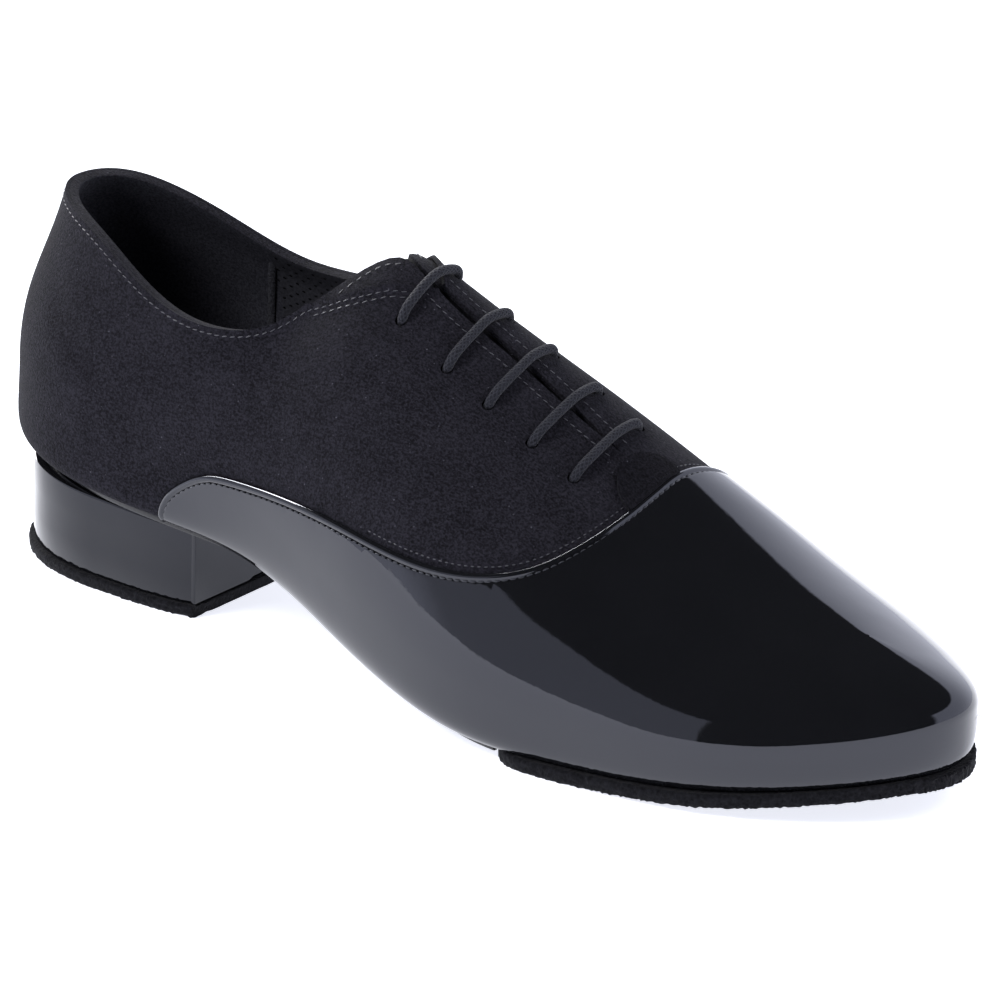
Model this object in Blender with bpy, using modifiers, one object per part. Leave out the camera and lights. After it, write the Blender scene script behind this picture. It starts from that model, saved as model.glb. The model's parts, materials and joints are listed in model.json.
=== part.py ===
"""A right ballroom dance shoe, built on a last that is worked out from its length, ball, instep and heel.

Metres, +Z up, the toe towards +X and the little toe's side towards -Y. The origin is the middle of the
flat underside of the heel tip, on the floor.

The last is one surface with two coordinates. The way round, p, runs from -1 at the toe along the outer
side to 0 at the back of the heel, and on along the inner side to 1 at the toe again. The height, h, runs
from -1 at the turned-under edge to 0 at the widest line and to 1 at the top: collar, facing and ridge.
"""

import math

import bmesh
import bpy
import numpy as np
from mathutils import Vector

# The last
LENGTH = 0.2865
BALL_WIDTH = 0.100
BACK_HEIGHT = 0.066
INSTEP_HEIGHT = 0.087
TOE_SPRING = 0.007
BACK_TUCK = 0.008
TOE_TUCK = 0.005
COLLAR_LEAN = 0.0115
TOE_SLOPE = 0.0285
STEEPEST_RIDGE = 0.6

# Walls and soles
WALL = 0.0018
VAMP_WALL = 0.0009
TAB_WALL = 0.0008
TONGUE_WALL = 0.0020
INSOLE_THICKNESS = 0.0020
SOLE_THICKNESS = 0.0035
WAIST_THICKNESS = 0.0020
GAP = 0.0003

# Heel
HEEL_HEIGHT = 0.025
HEEL_LENGTH = 0.0673
HEEL_WIDTH = 0.0606
HEEL_INSET = 0.0075
HEEL_WIDEST = 0.54
HEEL_FULLNESS = 2.2
BREAST_NARROWING = 0.09
TIP_THICKNESS = 0.003
TIP_MARGIN = 0.001

# Margins of the soles around what they carry
SOLE_MARGIN = 0.0015
WAIST_MARGIN = 0.0016
INSOLE_PLAY = 0.0006
SOLE_CORNER = 0.05
SOLE_CORNER_NARROWING = 0.16

# Lace and throat
LACE_DIAMETER = 0.0025
TAB_RADIUS = 0.0090

# Levels of the turned-under edge over the floor
SEAT = HEEL_HEIGHT + GAP + WAIST_THICKNESS + GAP
TREAD = SOLE_THICKNESS + GAP

# Shares of the length at which pieces begin or end
THROAT = 0.71
WING_SHEET = 0.19
SOLE_JOINT = 0.645
INSOLE_FOOT = 0.06
INSOLE_TOP = 0.30
TONGUE_SPAN = (0.405, 0.745)
LACE_AT = (0.451, 0.505, 0.549, 0.594, 0.636)
TAB_SPAN = (0.62, 0.76)

# Turned-under edge. x: share of the length; middle, outer, inner: shares of half the ball width;
# seat: share of the heel seat's height over the forepart's; spring: share of the toe spring.
UNDER = [
    # x, middle, outer, inner, seat, spring
    (0.00, 0.00, 0.00, 0.00, 1.00, 0.00),
    (0.04, 0.00, 0.35, 0.35, 1.00, 0.00),
    (0.13, 0.00, 0.56, 0.56, 0.98, 0.00),
    (0.25, 0.00, 0.57, 0.55, 0.91, 0.00),
    (0.36, 0.00, 0.50, 0.42, 0.69, 0.00),
    (0.48, 0.00, 0.60, 0.42, 0.27, 0.00),
    (0.60, 0.02, 0.82, 0.66, 0.03, 0.00),
    (0.72, 0.07, 0.84, 0.77, 0.00, 0.00),
    (0.84, 0.11, 0.70, 0.66, 0.00, 0.22),
    (0.94, 0.15, 0.44, 0.40, 0.00, 0.66),
    (1.00, 0.18, 0.00, 0.00, 0.00, 1.00),
]

# Widest line. rise: height over the turned-under edge, as a share of the instep height.
SIDE = [
    # x, middle, outer, inner, rise
    (0.00, 0.00, 0.00, 0.00, 0.235),
    (0.04, 0.00, 0.42, 0.42, 0.235),
    (0.13, 0.00, 0.65, 0.64, 0.230),
    (0.25, 0.00, 0.66, 0.65, 0.223),
    (0.36, 0.00, 0.70, 0.62, 0.223),
    (0.48, 0.01, 0.85, 0.66, 0.223),
    (0.60, 0.04, 0.97, 0.84, 0.188),
    (0.72, 0.09, 0.95, 0.90, 0.147),
    (0.84, 0.13, 0.84, 0.80, 0.129),
    (0.94, 0.17, 0.53, 0.48, 0.135),
    (1.00, 0.18, 0.00, 0.00, 0.155),
]

# Collar, facing edge and ridge. The height over the turned-under edge is the back's share of the back
# height plus the instep's share of the instep height; more: what the inner side adds, as a share of
# the instep height; lean: degrees by which the surface leans inwards at its top; tilt: degrees that the
# inner side takes more than this and the outer side less, which turns the lacing to the outer side.
CREST = [
    # x, middle, half, back, instep, more, lean, tilt
    (0.000, 0.00, 0.000, 1.00, 0.000, 0.000, 14, 0),
    (0.040, 0.00, 0.280, 0.98, 0.000, 0.000, 14, 0),
    (0.120, 0.02, 0.460, 0.92, 0.000, -0.050, 14, 0),
    (0.210, 0.03, 0.550, 0.60, 0.160, -0.045, 15, 0),
    (0.290, 0.03, 0.540, 0.30, 0.400, -0.020, 18, 0),
    (0.350, 0.04, 0.420, 0.10, 0.655, -0.020, 34, 0),
    (0.395, 0.04, 0.220, 0.02, 0.885, -0.020, 55, 3),
    (0.430, 0.01, 0.060, 0.00, 1.000, -0.010, 75, 9),
    (0.480, -0.03, 0.020, 0.00, 0.998, 0.005, 82, 14),
    (0.580, 0.00, 0.018, 0.00, 0.900, 0.010, 88, 15),
    (0.660, 0.04, 0.014, 0.00, 0.789, 0.005, 90, 17),
    (0.710, 0.06, 0.000, 0.00, 0.714, 0.000, 90, 17),
    (0.820, 0.12, 0.000, 0.00, 0.536, 0.000, 90, 11),
    (0.920, 0.15, 0.000, 0.00, 0.393, 0.000, 90, 5),
    (1.000, 0.17, 0.000, 0.00, 0.296, 0.000, 90, 0),
]

# The vamp's rear edge from the side, with its rounded wing over the heel.
# x: share of the length; z: height over the floor as a share of the instep height.
SEAM = [
    # x, z
    (0.236, 0.200),
    (0.237, 0.320),
    (0.245, 0.380),
    (0.264, 0.440),
    (0.291, 0.490),
    (0.330, 0.512),
    (0.400, 0.527),
    (0.470, 0.525),
    (0.545, 0.508),
    (0.600, 0.508),
    (0.636, 0.526),
    (0.657, 0.552),
    (0.671, 0.585),
    (0.680, 0.618),
    (0.685, 0.650),
    (0.687, 0.690),
    (0.687, 0.800),
]

# Columns of the last between the heel and the throat, and between the throat and the toe; rows.
REAR_COLUMNS = 27
TOE_COLUMNS = 13
LOW_ROWS = (-1.0, -0.82, -0.65, -0.38)
HIGH_ROWS = (0.0, 0.11, 0.23, 0.35, 0.47, 0.59, 0.70, 0.80, 0.90, 1.0)
VAMP_ROW = 2
TONGUE_ROW = 9
TAB_ROW = 10
LACE_ROWS = (0.79, 0.84, 0.89, 0.94, 1.0)

# How full the last's sections are
LOW_REACH = 0.92
LOW_RISE = 0.80
HIGH_RISE = 0.45
HIGH_REACH = 0.45

# Degrees of lean at which the ridge starts to follow its own fall, and over which it comes to do so
FALL_FROM = 69
FALL_OVER = 17


def angle_of(share):
    """The way round, as a share from heel to toe, at which a rail reaches this share of its length."""
    return math.acos(1 - 2 * share) / math.pi


def share_of(q):
    return (1 - np.cos(np.pi * q)) / 2


RIDGE_START = angle_of(THROAT) - 1e-9


def natural(knots, values, at):
    """A natural cubic spline through the knots."""
    knots, values, at = (np.asarray(a, float) for a in (knots, values, at))
    count = len(knots)
    step = np.diff(knots)
    matrix = np.eye(count)
    bend = np.zeros(count)
    for i in range(1, count - 1):
        matrix[i, i - 1 : i + 2] = step[i - 1], 2 * (step[i - 1] + step[i]), step[i]
        bend[i] = 6 * ((values[i + 1] - values[i]) / step[i] - (values[i] - values[i - 1]) / step[i - 1])
    curve = np.linalg.solve(matrix, bend)
    i = np.clip(np.searchsorted(knots, at) - 1, 0, count - 2)
    t = at - knots[i]
    slope = (values[i + 1] - values[i]) / step[i] - step[i] * (2 * curve[i] + curve[i + 1]) / 6
    return values[i] + t * (slope + t * (curve[i] / 2 + t * (curve[i + 1] - curve[i]) / (6 * step[i])))


def track(rows, column, q, sign=1):
    """A table's column along the way round, carried on past both ends with this sign."""
    knots = [angle_of(row[0]) for row in rows]
    values = [row[column] for row in rows]
    before = [-k for k in knots[3:0:-1]]
    after = [2 - k for k in knots[-2:-5:-1]]
    mirrored = [sign * v for v in values[3:0:-1]], [sign * v for v in values[-2:-5:-1]]
    return natural(before + knots + after, mirrored[0] + values + mirrored[1], q)


def half_width(rows, column, q):
    return np.maximum(track(rows, column, q, -1), 0)


def rail(rows, start, end, p, outer, inner):
    """x and y of a rail around the last."""
    q = np.abs(p)
    x = start + (end - start) * share_of(q)
    reach = np.where(p < 0, -half_width(rows, outer, q), half_width(rows, inner, q))
    return x, (track(rows, 1, q) + reach) * BALL_WIDTH / 2


def under(p):
    q = np.abs(p)
    x, y = rail(UNDER, BACK_TUCK, LENGTH - TOE_TUCK, p, 2, 3)
    z = TREAD + (SEAT - TREAD) * track(UNDER, 4, q) + TOE_SPRING * track(UNDER, 5, q)
    return np.stack([x, y, z], -1)


def side(p):
    x, y = rail(SIDE, 0.0, LENGTH, p, 2, 3)
    rise = INSTEP_HEIGHT * track(SIDE, 4, np.abs(p))
    return np.stack([x, y, under(p)[..., 2] + rise], -1)


def crest(p):
    """The top rail. Past the throat its two sides are one line, the ridge."""
    q = np.abs(p)
    open_part = q < RIDGE_START
    x, y = rail(CREST, COLLAR_LEAN, LENGTH - TOE_SLOPE, p, 2, 2)
    middle = track(CREST, 1, q) * BALL_WIDTH / 2
    y = np.where(open_part, y, middle)
    rise = BACK_HEIGHT * track(CREST, 3, q) + INSTEP_HEIGHT * track(CREST, 4, q)
    more = np.where(open_part & (p > 0), INSTEP_HEIGHT * track(CREST, 5, q), 0)
    return np.stack([x, y, under(p)[..., 2] + rise + more], -1)


def crest_slope(q):
    """Fall of the ridge for each metre forward."""
    middle = np.clip(q, 0.02, 0.98)
    near = np.stack([middle - 0.01, middle + 0.01])
    line = crest(near)
    return (line[1, ..., 2] - line[0, ..., 2]) / np.maximum(line[1, ..., 0] - line[0, ..., 0], 1e-6)


def bezier(a, b, c, d, t):
    t = t[..., None]
    return (1 - t) ** 3 * a + 3 * t * (1 - t) ** 2 * b + 3 * t * t * (1 - t) * c + t**3 * d


def last(p, h):
    """Points of the last. p and h are arrays of one shape."""
    p = (np.asarray(p, float) + 1) % 2 - 1
    h = np.asarray(h, float)
    q = np.abs(p)
    low, wide, top = under(p), side(p), crest(p)
    up = np.array([0.0, 0.0, 1.0])
    outward = np.stack([-np.cos(np.pi * q), np.where(p < 0, -1, 1) * np.sin(np.pi * q), 0 * q], -1)

    reach = np.linalg.norm((wide - low)[..., :2], axis=-1)[..., None]
    rise = (wide - low)[..., 2:]
    lower = bezier(low, low + outward * reach * LOW_REACH, wide - up * rise * LOW_RISE, wide, 1 + np.minimum(h, 0))

    lean = np.radians(track(CREST, 6, q))
    flatness = np.clip((np.degrees(lean) - FALL_FROM) / FALL_OVER, 0, 1)
    fall = np.clip(crest_slope(q), -STEEPEST_RIDGE, 0) * np.clip(outward[..., 0], 0, 1) * flatness
    turned = lean + np.radians(track(CREST, 7, q)) * np.where(p < 0, -1, 1)
    leaning = outward * np.sin(turned)[..., None] + up * (fall - np.cos(turned))[..., None]
    leaning /= np.linalg.norm(leaning, axis=-1)[..., None]
    height = (top - wide)[..., 2:]
    width = np.linalg.norm((top - wide)[..., :2], axis=-1)[..., None]
    handle = np.hypot(width * np.sin(lean)[..., None], height * np.cos(lean)[..., None])
    upper = bezier(
        wide, wide + up * height * HIGH_RISE, top + leaning * handle * HIGH_REACH, top, np.maximum(h, 0)
    )
    return np.where(h[..., None] < 0, lower, upper)


def outward_normal(p, h):
    """Unit normals of the last, pointing out of the shoe."""
    step = 0.003
    h = np.minimum(h, 1 - step)
    high, lowest = np.minimum(h + step, 1), np.maximum(h - step, -1)
    along = last(p + step, h) - last(p - step, h)
    across = last(p, high) - last(p, lowest)
    normal = np.cross(across, along)
    return normal / np.linalg.norm(normal, axis=-1)[..., None]


def shell_point(p, h, distance):
    """The last moved this far outwards. On the ridge both sides take their mean normal."""
    p, h = np.broadcast_arrays(np.asarray(p, float), np.asarray(h, float))
    normal = outward_normal(p, h)
    on_ridge = (h > 1 - 1e-9) & (np.abs(p) > RIDGE_START)
    normal = np.where(on_ridge[..., None], normal + outward_normal(-p, h), normal)
    normal /= np.linalg.norm(normal, axis=-1)[..., None]
    return last(p, h) + distance * normal


def columns():
    """The way round of each column: the same on both sides, with one at the throat."""
    rear = np.linspace(0, angle_of(THROAT), REAR_COLUMNS + 1)
    front = np.linspace(angle_of(THROAT), 1, TOE_COLUMNS + 1)[1:]
    half = np.concatenate([rear, front])
    return np.concatenate([-half[:0:-1], half[:-1]])


ROWS = LOW_ROWS + HIGH_ROWS


def underside(x):
    """Height of the turned-under edge at this x."""
    line = under(np.linspace(-1, 0, 400))[::-1]
    return np.interp(x, line[:, 0], line[:, 2])


def outline(curve, margin):
    """A rail seen from above, moved outwards: y of the outer and of the inner side as functions of x."""
    p = np.linspace(-1, 1, 721)
    step = 1e-3
    points = curve(p)[:, :2]
    ahead = curve(np.minimum(p + step, 1))[:, :2] - curve(np.maximum(p - step, -1))[:, :2]
    ahead[0, 0] = ahead[-1, 0] = 0
    ahead[0, 1], ahead[-1, 1] = -1, -1
    normal = np.stack([-ahead[:, 1], ahead[:, 0]], -1)
    moved = points + margin * normal / np.linalg.norm(normal, axis=1)[:, None]
    outer, inner = moved[p <= 0][::-1], moved[p >= 0]
    back, front = moved[:, 0].min(), moved[:, 0].max()
    return (
        back,
        front,
        lambda x: np.interp(x, np.maximum.accumulate(outer[:, 0]), outer[:, 1]),
        lambda x: np.interp(x, np.maximum.accumulate(inner[:, 0]), inner[:, 1]),
    )


def material(name, colour, roughness):
    made = bpy.data.materials.new(name)
    made.use_nodes = True
    shader = made.node_tree.nodes["Principled BSDF"]
    shader.inputs["Base Color"].default_value = (*colour, 1)
    shader.inputs["Roughness"].default_value = roughness
    shader.inputs["Metallic"].default_value = 0.0
    return made


def place(obj, finish, parts, root):
    """Hangs an object on the shoe's empty, with its material."""
    parts.objects.link(obj)
    obj.parent = root
    obj.data.materials.append(finish)
    if obj.type == "MESH":
        obj.data.shade_smooth()
        obj.data.set_sharp_from_angle(angle=math.radians(40))
    return obj


def mesh_object(name, points, faces):
    mesh = bpy.data.meshes.new(name)
    mesh.from_pydata([tuple(map(float, point)) for point in points], [], faces)
    mesh.validate()
    mesh.update()
    return bpy.data.objects.new(name, mesh)


def solidify(obj, thickness, outwards):
    thick = obj.modifiers.new("Wall", "SOLIDIFY")
    thick.thickness = thickness
    thick.offset = 1 if outwards else -1
    thick.use_even_offset = True
    thick.use_quality_normals = True


def last_sheet(name, ways, heights, distance, closed):
    """An open sheet over the last's own columns and rows, joined along the ridge."""
    grid = shell_point(np.asarray(ways)[:, None], np.asarray(heights)[None], distance)
    number = {}
    points = []
    for i, p in enumerate(ways):
        for j, h in enumerate(heights):
            ridge = h > 1 - 1e-9 and abs(p) > RIDGE_START
            key = ("ridge", round(abs(p), 6)) if ridge else (i, j)
            if key not in number:
                number[key] = len(points)
                points.append(grid[i, j])
            number[i, j] = number[key]
    faces = []
    for i in range(len(ways) if closed else len(ways) - 1):
        k = (i + 1) % len(ways)
        for j in range(len(heights) - 1):
            faces.append((number[i, j], number[i, j + 1], number[k, j + 1], number[k, j]))
    return mesh_object(name, points, faces)


def bridge_sheet(name, ways, heights, distance):
    """An open sheet from the outer side over the gap of the lacing to the inner side."""
    heights = np.asarray(heights)
    strips = []
    for p in ways:
        outer = shell_point(p, heights, distance)
        inner = shell_point(-p, heights[::-1], distance)
        middle = (outer[-1] + inner[0]) / 2
        strips.append(np.concatenate([outer[:-1], [middle], inner[1:]]))
    width = len(strips[0])
    faces = []
    for i in range(len(strips) - 1):
        for j in range(width - 1):
            n = i * width + j
            faces.append((n, n + 1, n + width + 1, n + width))
    return mesh_object(name, np.concatenate(strips), faces)


def slab(name, xs, outer, inner, top, bottom, top_outer=None, top_inner=None):
    """A solid between two heights, with a cross strip at each x. A strip of no width is one point."""
    points = []
    rings = []
    for x in xs:
        bottom_sides = [outer(x), inner(x)]
        top_sides = [(top_outer or outer)(x), (top_inner or inner)(x)]
        if bottom_sides[1] - bottom_sides[0] < 1e-5:
            middle = sum(bottom_sides) / 2
            ring = [(x, middle, bottom(x)), (x, middle, top(x))]
            rings.append([len(points), len(points), len(points) + 1, len(points) + 1])
        else:
            ring = [(x, y, bottom(x)) for y in bottom_sides] + [(x, y, top(x)) for y in reversed(top_sides)]
            rings.append([len(points) + i for i in range(4)])
        points += ring
    faces = []
    for a, b in zip(rings[:-1], rings[1:]):
        for i in range(4):
            k = (i + 1) % 4
            corners = [a[i], a[k], b[k], b[i]]
            single = [c for n, c in enumerate(corners) if c not in corners[:n]]
            if len(single) > 2:
                faces.append(tuple(single))
    for ring, turned in ((rings[0], True), (rings[-1], False)):
        if len(set(ring)) == 4:
            faces.append(tuple(reversed(ring) if turned else ring))
    obj = mesh_object(name, points, faces)
    tidy = bmesh.new()
    tidy.from_mesh(obj.data)
    bmesh.ops.recalc_face_normals(tidy, faces=tidy.faces)
    tidy.to_mesh(obj.data)
    tidy.free()
    return obj


def rounded_stations(start, end, count):
    """Stations that crowd together towards both ends."""
    return start + (end - start) * share_of(np.linspace(0, 1, count))


def upper():
    sheet = last_sheet("upper", columns(), ROWS, 0.0, True)
    solidify(sheet, WALL, False)
    return sheet


def seam_cutter(name, margin, parts):
    """A block across the shoe whose rear face follows the vamp's edge, moved back by the margin."""
    edge = np.array(SEAM) * (LENGTH, INSTEP_HEIGHT)
    ahead = np.gradient(edge, axis=0)
    normal = np.stack([-ahead[:, 1], ahead[:, 0]], -1) / np.linalg.norm(ahead, axis=1)[:, None]
    edge = edge + margin * normal
    front, floor = LENGTH + BALL_WIDTH / 2, -HEEL_HEIGHT
    corners = [(front, edge[-1, 1]), (front, floor), (edge[0, 0], floor)]
    profile = [tuple(point) for point in edge] + corners
    across = BALL_WIDTH
    points = [(x, y, z) for y in (-across, across) for x, z in profile]
    count = len(profile)
    faces = [(i, (i + 1) % count, (i + 1) % count + count, i + count) for i in range(count)]
    faces += [tuple(range(count - 1, -1, -1)), tuple(range(count, 2 * count))]
    obj = mesh_object(name, points, faces)
    obj.hide_render = True
    obj.display_type = "WIRE"
    parts.objects.link(obj)
    return obj


def cut(obj, cutter, operation):
    boolean = obj.modifiers.new("Cut", "BOOLEAN")
    boolean.object = cutter
    boolean.operation = operation


def vamp(cutters, root):
    """Patent overlay: a shell over the forepart, cut from the last's larger form along the seam."""
    ways = [p for p in columns() if abs(p) > angle_of(WING_SHEET)]
    half = len(ways) // 2
    order = ways[half:] + ways[:half]
    sheet = last_sheet("vamp", order, ROWS[VAMP_ROW:], GAP, False)
    solidify(sheet, VAMP_WALL, True)
    cutter = seam_cutter("seam_cutter", 0.0, cutters)
    cutter.parent = root
    cut(sheet, cutter, "INTERSECT")
    return sheet


def throat_tab(cutters, root):
    """Half-round tab at the foot of the lacing, up to the vamp's edge."""
    ways = [p for p in columns() if TAB_SPAN[0] < share_of(-p) < TAB_SPAN[1] and p < 0]
    sheet = bridge_sheet("throat_tab", ways, ROWS[TAB_ROW:], GAP)
    solidify(sheet, TAB_WALL, True)
    x = SEAM[-1][0] * LENGTH
    middle = crest(np.array([angle_of(TAB_SPAN[0])]))[0, 1]
    bpy.ops.mesh.primitive_cylinder_add(
        vertices=40, radius=TAB_RADIUS, depth=2 * INSTEP_HEIGHT, location=(x, middle, INSTEP_HEIGHT)
    )
    disc = bpy.context.object
    disc.name = "tab_cutter"
    disc.hide_render = True
    disc.display_type = "WIRE"
    for collection in list(disc.users_collection):
        collection.objects.unlink(disc)
    cutters.objects.link(disc)
    disc.parent = root
    cut(sheet, disc, "INTERSECT")
    behind = seam_cutter("tab_seam_cutter", GAP, cutters)
    behind.parent = root
    cut(sheet, behind, "DIFFERENCE")
    return sheet


def tongue():
    """The strip under the facings, carried across their gap."""
    ways = [p for p in columns() if TONGUE_SPAN[0] < share_of(-p) < TONGUE_SPAN[1] and p < 0]
    sheet = bridge_sheet("tongue", ways, ROWS[TONGUE_ROW:], -(WALL + GAP))
    solidify(sheet, TONGUE_WALL, False)
    return sheet


def between(share):
    """A rail this share of the way from the turned-under edge to the widest line."""
    return lambda p: under(p) * (1 - share) + side(p) * share


def insole():
    """A sock that widens upwards, as the upper does at its edge."""
    back, front, outer, inner = outline(between(INSOLE_FOOT), -INSOLE_PLAY)
    _, _, top_outer, top_inner = outline(between(INSOLE_TOP), -INSOLE_PLAY)
    level = WALL + GAP
    return slab(
        "insole",
        rounded_stations(back, front, 26),
        outer,
        inner,
        lambda x: underside(x) + level + INSOLE_THICKNESS,
        lambda x: underside(x) + level,
        top_outer,
        top_inner,
    )


def waist_sole():
    """Seat and waist: closes the upper from the back of the heel to the forepart sole."""
    back, _, outer, inner = outline(under, WAIST_MARGIN)
    joint = SOLE_JOINT * LENGTH - GAP / 2
    stations = [x for x in rounded_stations(back, LENGTH, 40) if x < joint - 0.002] + [joint]
    return slab(
        "waist_sole",
        stations,
        outer,
        inner,
        lambda x: underside(x) - GAP,
        lambda x: underside(x) - GAP - WAIST_THICKNESS,
    )


def forepart_sole():
    """Suede sole, with a rounded rear edge, a flat tread on the floor and the toe spring."""
    _, front, outer, inner = outline(side, SOLE_MARGIN)
    joint = SOLE_JOINT * LENGTH + GAP / 2
    corner = SOLE_CORNER * LENGTH

    def rounding(x):
        u = np.clip(1 - (x - joint) / corner, 0, 1)
        return 1 - SOLE_CORNER_NARROWING * (1 - np.sqrt(1 - u * u))

    def narrowed(edge):
        return lambda x: (outer(x) + inner(x)) / 2 + (edge(x) - (outer(x) + inner(x)) / 2) * rounding(x)

    near = joint + corner * (1 - np.cos(np.linspace(0, math.pi / 2, 7)[:-1]))
    far = joint + corner + (front - joint - corner) * np.sin(np.linspace(0, math.pi / 2, 22))
    return slab(
        "forepart_sole",
        np.concatenate([near, far]),
        narrowed(outer),
        narrowed(inner),
        lambda x: underside(x) - GAP,
        lambda x: np.maximum(underside(x) - GAP - SOLE_THICKNESS, 0),
    )


def heel_outline(margin):
    """The D of the heel seen from above: a full back, widest before the middle, narrower at the breast."""
    back = HEEL_INSET - margin
    breast = HEEL_INSET + HEEL_LENGTH + margin
    widest = back + HEEL_WIDEST * (breast - back)
    half = HEEL_WIDTH / 2 + margin

    def reach(x):
        u = np.clip((widest - x) / (widest - back), 0, 1)
        v = np.clip((x - widest) / (breast - widest), 0, 1)
        rounded = (1 - u**HEEL_FULLNESS) ** (1 / HEEL_FULLNESS)
        return half * rounded * (1 - BREAST_NARROWING * v**3)

    turn = widest - (widest - back) * np.cos(np.linspace(0, math.pi / 2, 15))
    straight = np.linspace(widest, breast, 7)[1:]
    return np.concatenate([turn, straight]), lambda x: -reach(x), reach


def heel():
    stations, outer, inner = heel_outline(0.0)
    return slab(
        "heel",
        stations,
        outer,
        inner,
        lambda x: underside(max(x, BACK_TUCK)) - GAP - WAIST_THICKNESS - GAP,
        lambda x: TIP_THICKNESS + GAP,
    )


def heel_tip():
    stations, outer, inner = heel_outline(TIP_MARGIN)
    return slab("heel_tip", stations, outer, inner, lambda x: TIP_THICKNESS, lambda x: 0.0)


def way_at(x, h, sign):
    """The way round at which the last's row h reaches this x, on the outer or the inner side."""
    ways = np.linspace(0.3, 0.8, 200)
    reached = last(sign * ways, np.full_like(ways, h))[:, 0]
    return sign * np.interp(x, reached, ways)


def lace_bar(number):
    """One run of the lace straight across the facings, from one eyelet to its opposite."""
    x = LACE_AT[number] * LENGTH
    radius = LACE_DIAMETER / 2
    stops = [(way_at(x, h, -1), h) for h in LACE_ROWS] + [(way_at(x, h, 1), h) for h in reversed(LACE_ROWS)]
    route = np.concatenate([shell_point([p], [h], GAP + radius) for p, h in stops])
    curve = bpy.data.curves.new(f"lace_bar_{number + 1}", "CURVE")
    curve.dimensions = "3D"
    curve.bevel_depth = radius
    curve.bevel_resolution = 2
    curve.use_fill_caps = True
    spline = curve.splines.new("POLY")
    spline.points.add(len(route) - 1)
    for point, place_at in zip(spline.points, route):
        point.co = (*place_at, 1)
    return bpy.data.objects.new(curve.name, curve)


def build():
    for old in list(bpy.data.objects):
        bpy.data.objects.remove(old, do_unlink=True)
    parts = bpy.data.collections.new("ballroom_dance_shoe")
    cutters = bpy.data.collections.new("cutters")
    for collection in (parts, cutters):
        bpy.context.scene.collection.children.link(collection)
    root = bpy.data.objects.new("shoe", None)
    parts.objects.link(root)
    root.location = Vector((-(HEEL_INSET + HEEL_LENGTH / 2), 0, 0))

    nubuck = material("nubuck", (0.024, 0.025, 0.030), 0.9)
    patent = material("patent", (0.010, 0.010, 0.012), 0.08)
    suede = material("suede", (0.020, 0.020, 0.024), 0.95)
    lining = material("lining", (0.022, 0.022, 0.025), 0.6)
    waist = material("waist", (0.015, 0.015, 0.018), 0.35)
    cord = material("lace", (0.050, 0.052, 0.060), 0.8)

    place(upper(), nubuck, parts, root)
    place(vamp(cutters, root), patent, parts, root)
    place(throat_tab(cutters, root), suede, parts, root)
    place(tongue(), nubuck, parts, root)
    place(insole(), lining, parts, root)
    place(waist_sole(), waist, parts, root)
    place(forepart_sole(), suede, parts, root)
    place(heel(), patent, parts, root)
    place(heel_tip(), suede, parts, root)
    for number in range(len(LACE_AT)):
        place(lace_bar(number), cord, parts, root)


build()
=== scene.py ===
"""Looks of the ballroom dance shoe: leathers, seams, lace and soles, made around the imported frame.

Metres, in the frame of the CAD: the toe towards +X, the little toe's side towards -Y, +Z up, and the
origin on the floor under the middle of the heel. The skins are laid on the last, the same one as in the
part's source. It has two coordinates. The way round, p, runs from -1 at the toe along the outer side to 0
at the heel, and on along the inner side to 1 at the toe. The height, h, runs from -1 at the turned-under
edge to 0 at the widest line, and to 1 at the collar, the facings and the ridge.
"""

import json
import math

import bmesh
import bpy
import numpy as np
from mathutils import Matrix, Vector, noise

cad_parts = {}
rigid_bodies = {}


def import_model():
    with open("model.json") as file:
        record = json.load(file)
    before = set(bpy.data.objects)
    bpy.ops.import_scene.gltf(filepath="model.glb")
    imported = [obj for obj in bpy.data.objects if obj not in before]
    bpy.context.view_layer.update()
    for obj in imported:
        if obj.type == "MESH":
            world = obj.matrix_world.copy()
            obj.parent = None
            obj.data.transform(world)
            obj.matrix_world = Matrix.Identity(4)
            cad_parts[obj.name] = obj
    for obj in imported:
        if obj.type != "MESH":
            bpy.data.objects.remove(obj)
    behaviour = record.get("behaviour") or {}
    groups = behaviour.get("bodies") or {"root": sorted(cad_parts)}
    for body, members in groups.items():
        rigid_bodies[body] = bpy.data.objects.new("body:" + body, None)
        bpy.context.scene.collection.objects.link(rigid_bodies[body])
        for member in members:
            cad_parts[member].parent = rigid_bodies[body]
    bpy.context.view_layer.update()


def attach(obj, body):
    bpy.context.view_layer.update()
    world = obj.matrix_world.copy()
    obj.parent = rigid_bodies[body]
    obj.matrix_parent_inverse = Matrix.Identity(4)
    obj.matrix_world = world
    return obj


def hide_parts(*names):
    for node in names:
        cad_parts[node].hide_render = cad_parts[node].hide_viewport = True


for old in list(bpy.data.objects):
    bpy.data.objects.remove(old, do_unlink=True)

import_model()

# The last, with the sizes of the part's source
LENGTH = 0.2865
BALL_WIDTH = 0.100
BACK_HEIGHT = 0.066
INSTEP_HEIGHT = 0.087
TOE_SPRING = 0.007
BACK_TUCK = 0.008
TOE_TUCK = 0.005
COLLAR_LEAN = 0.0115
TOE_SLOPE = 0.0285
STEEPEST_RIDGE = 0.6
WALL = 0.0018
GAP = 0.0003
INSOLE_THICKNESS = 0.0020
SOLE_THICKNESS = 0.0035
WAIST_THICKNESS = 0.0020
HEEL_HEIGHT = 0.025
HEEL_LENGTH = 0.0673
HEEL_WIDTH = 0.0606
HEEL_INSET = 0.0075
HEEL_WIDEST = 0.54
HEEL_FULLNESS = 2.2
BREAST_NARROWING = 0.09
TIP_THICKNESS = 0.003
TIP_MARGIN = 0.001
SOLE_MARGIN = 0.0015
WAIST_MARGIN = 0.0016
SOLE_CORNER = 0.05
SOLE_CORNER_NARROWING = 0.16
SOLE_JOINT = 0.645
THROAT = 0.71
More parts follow.
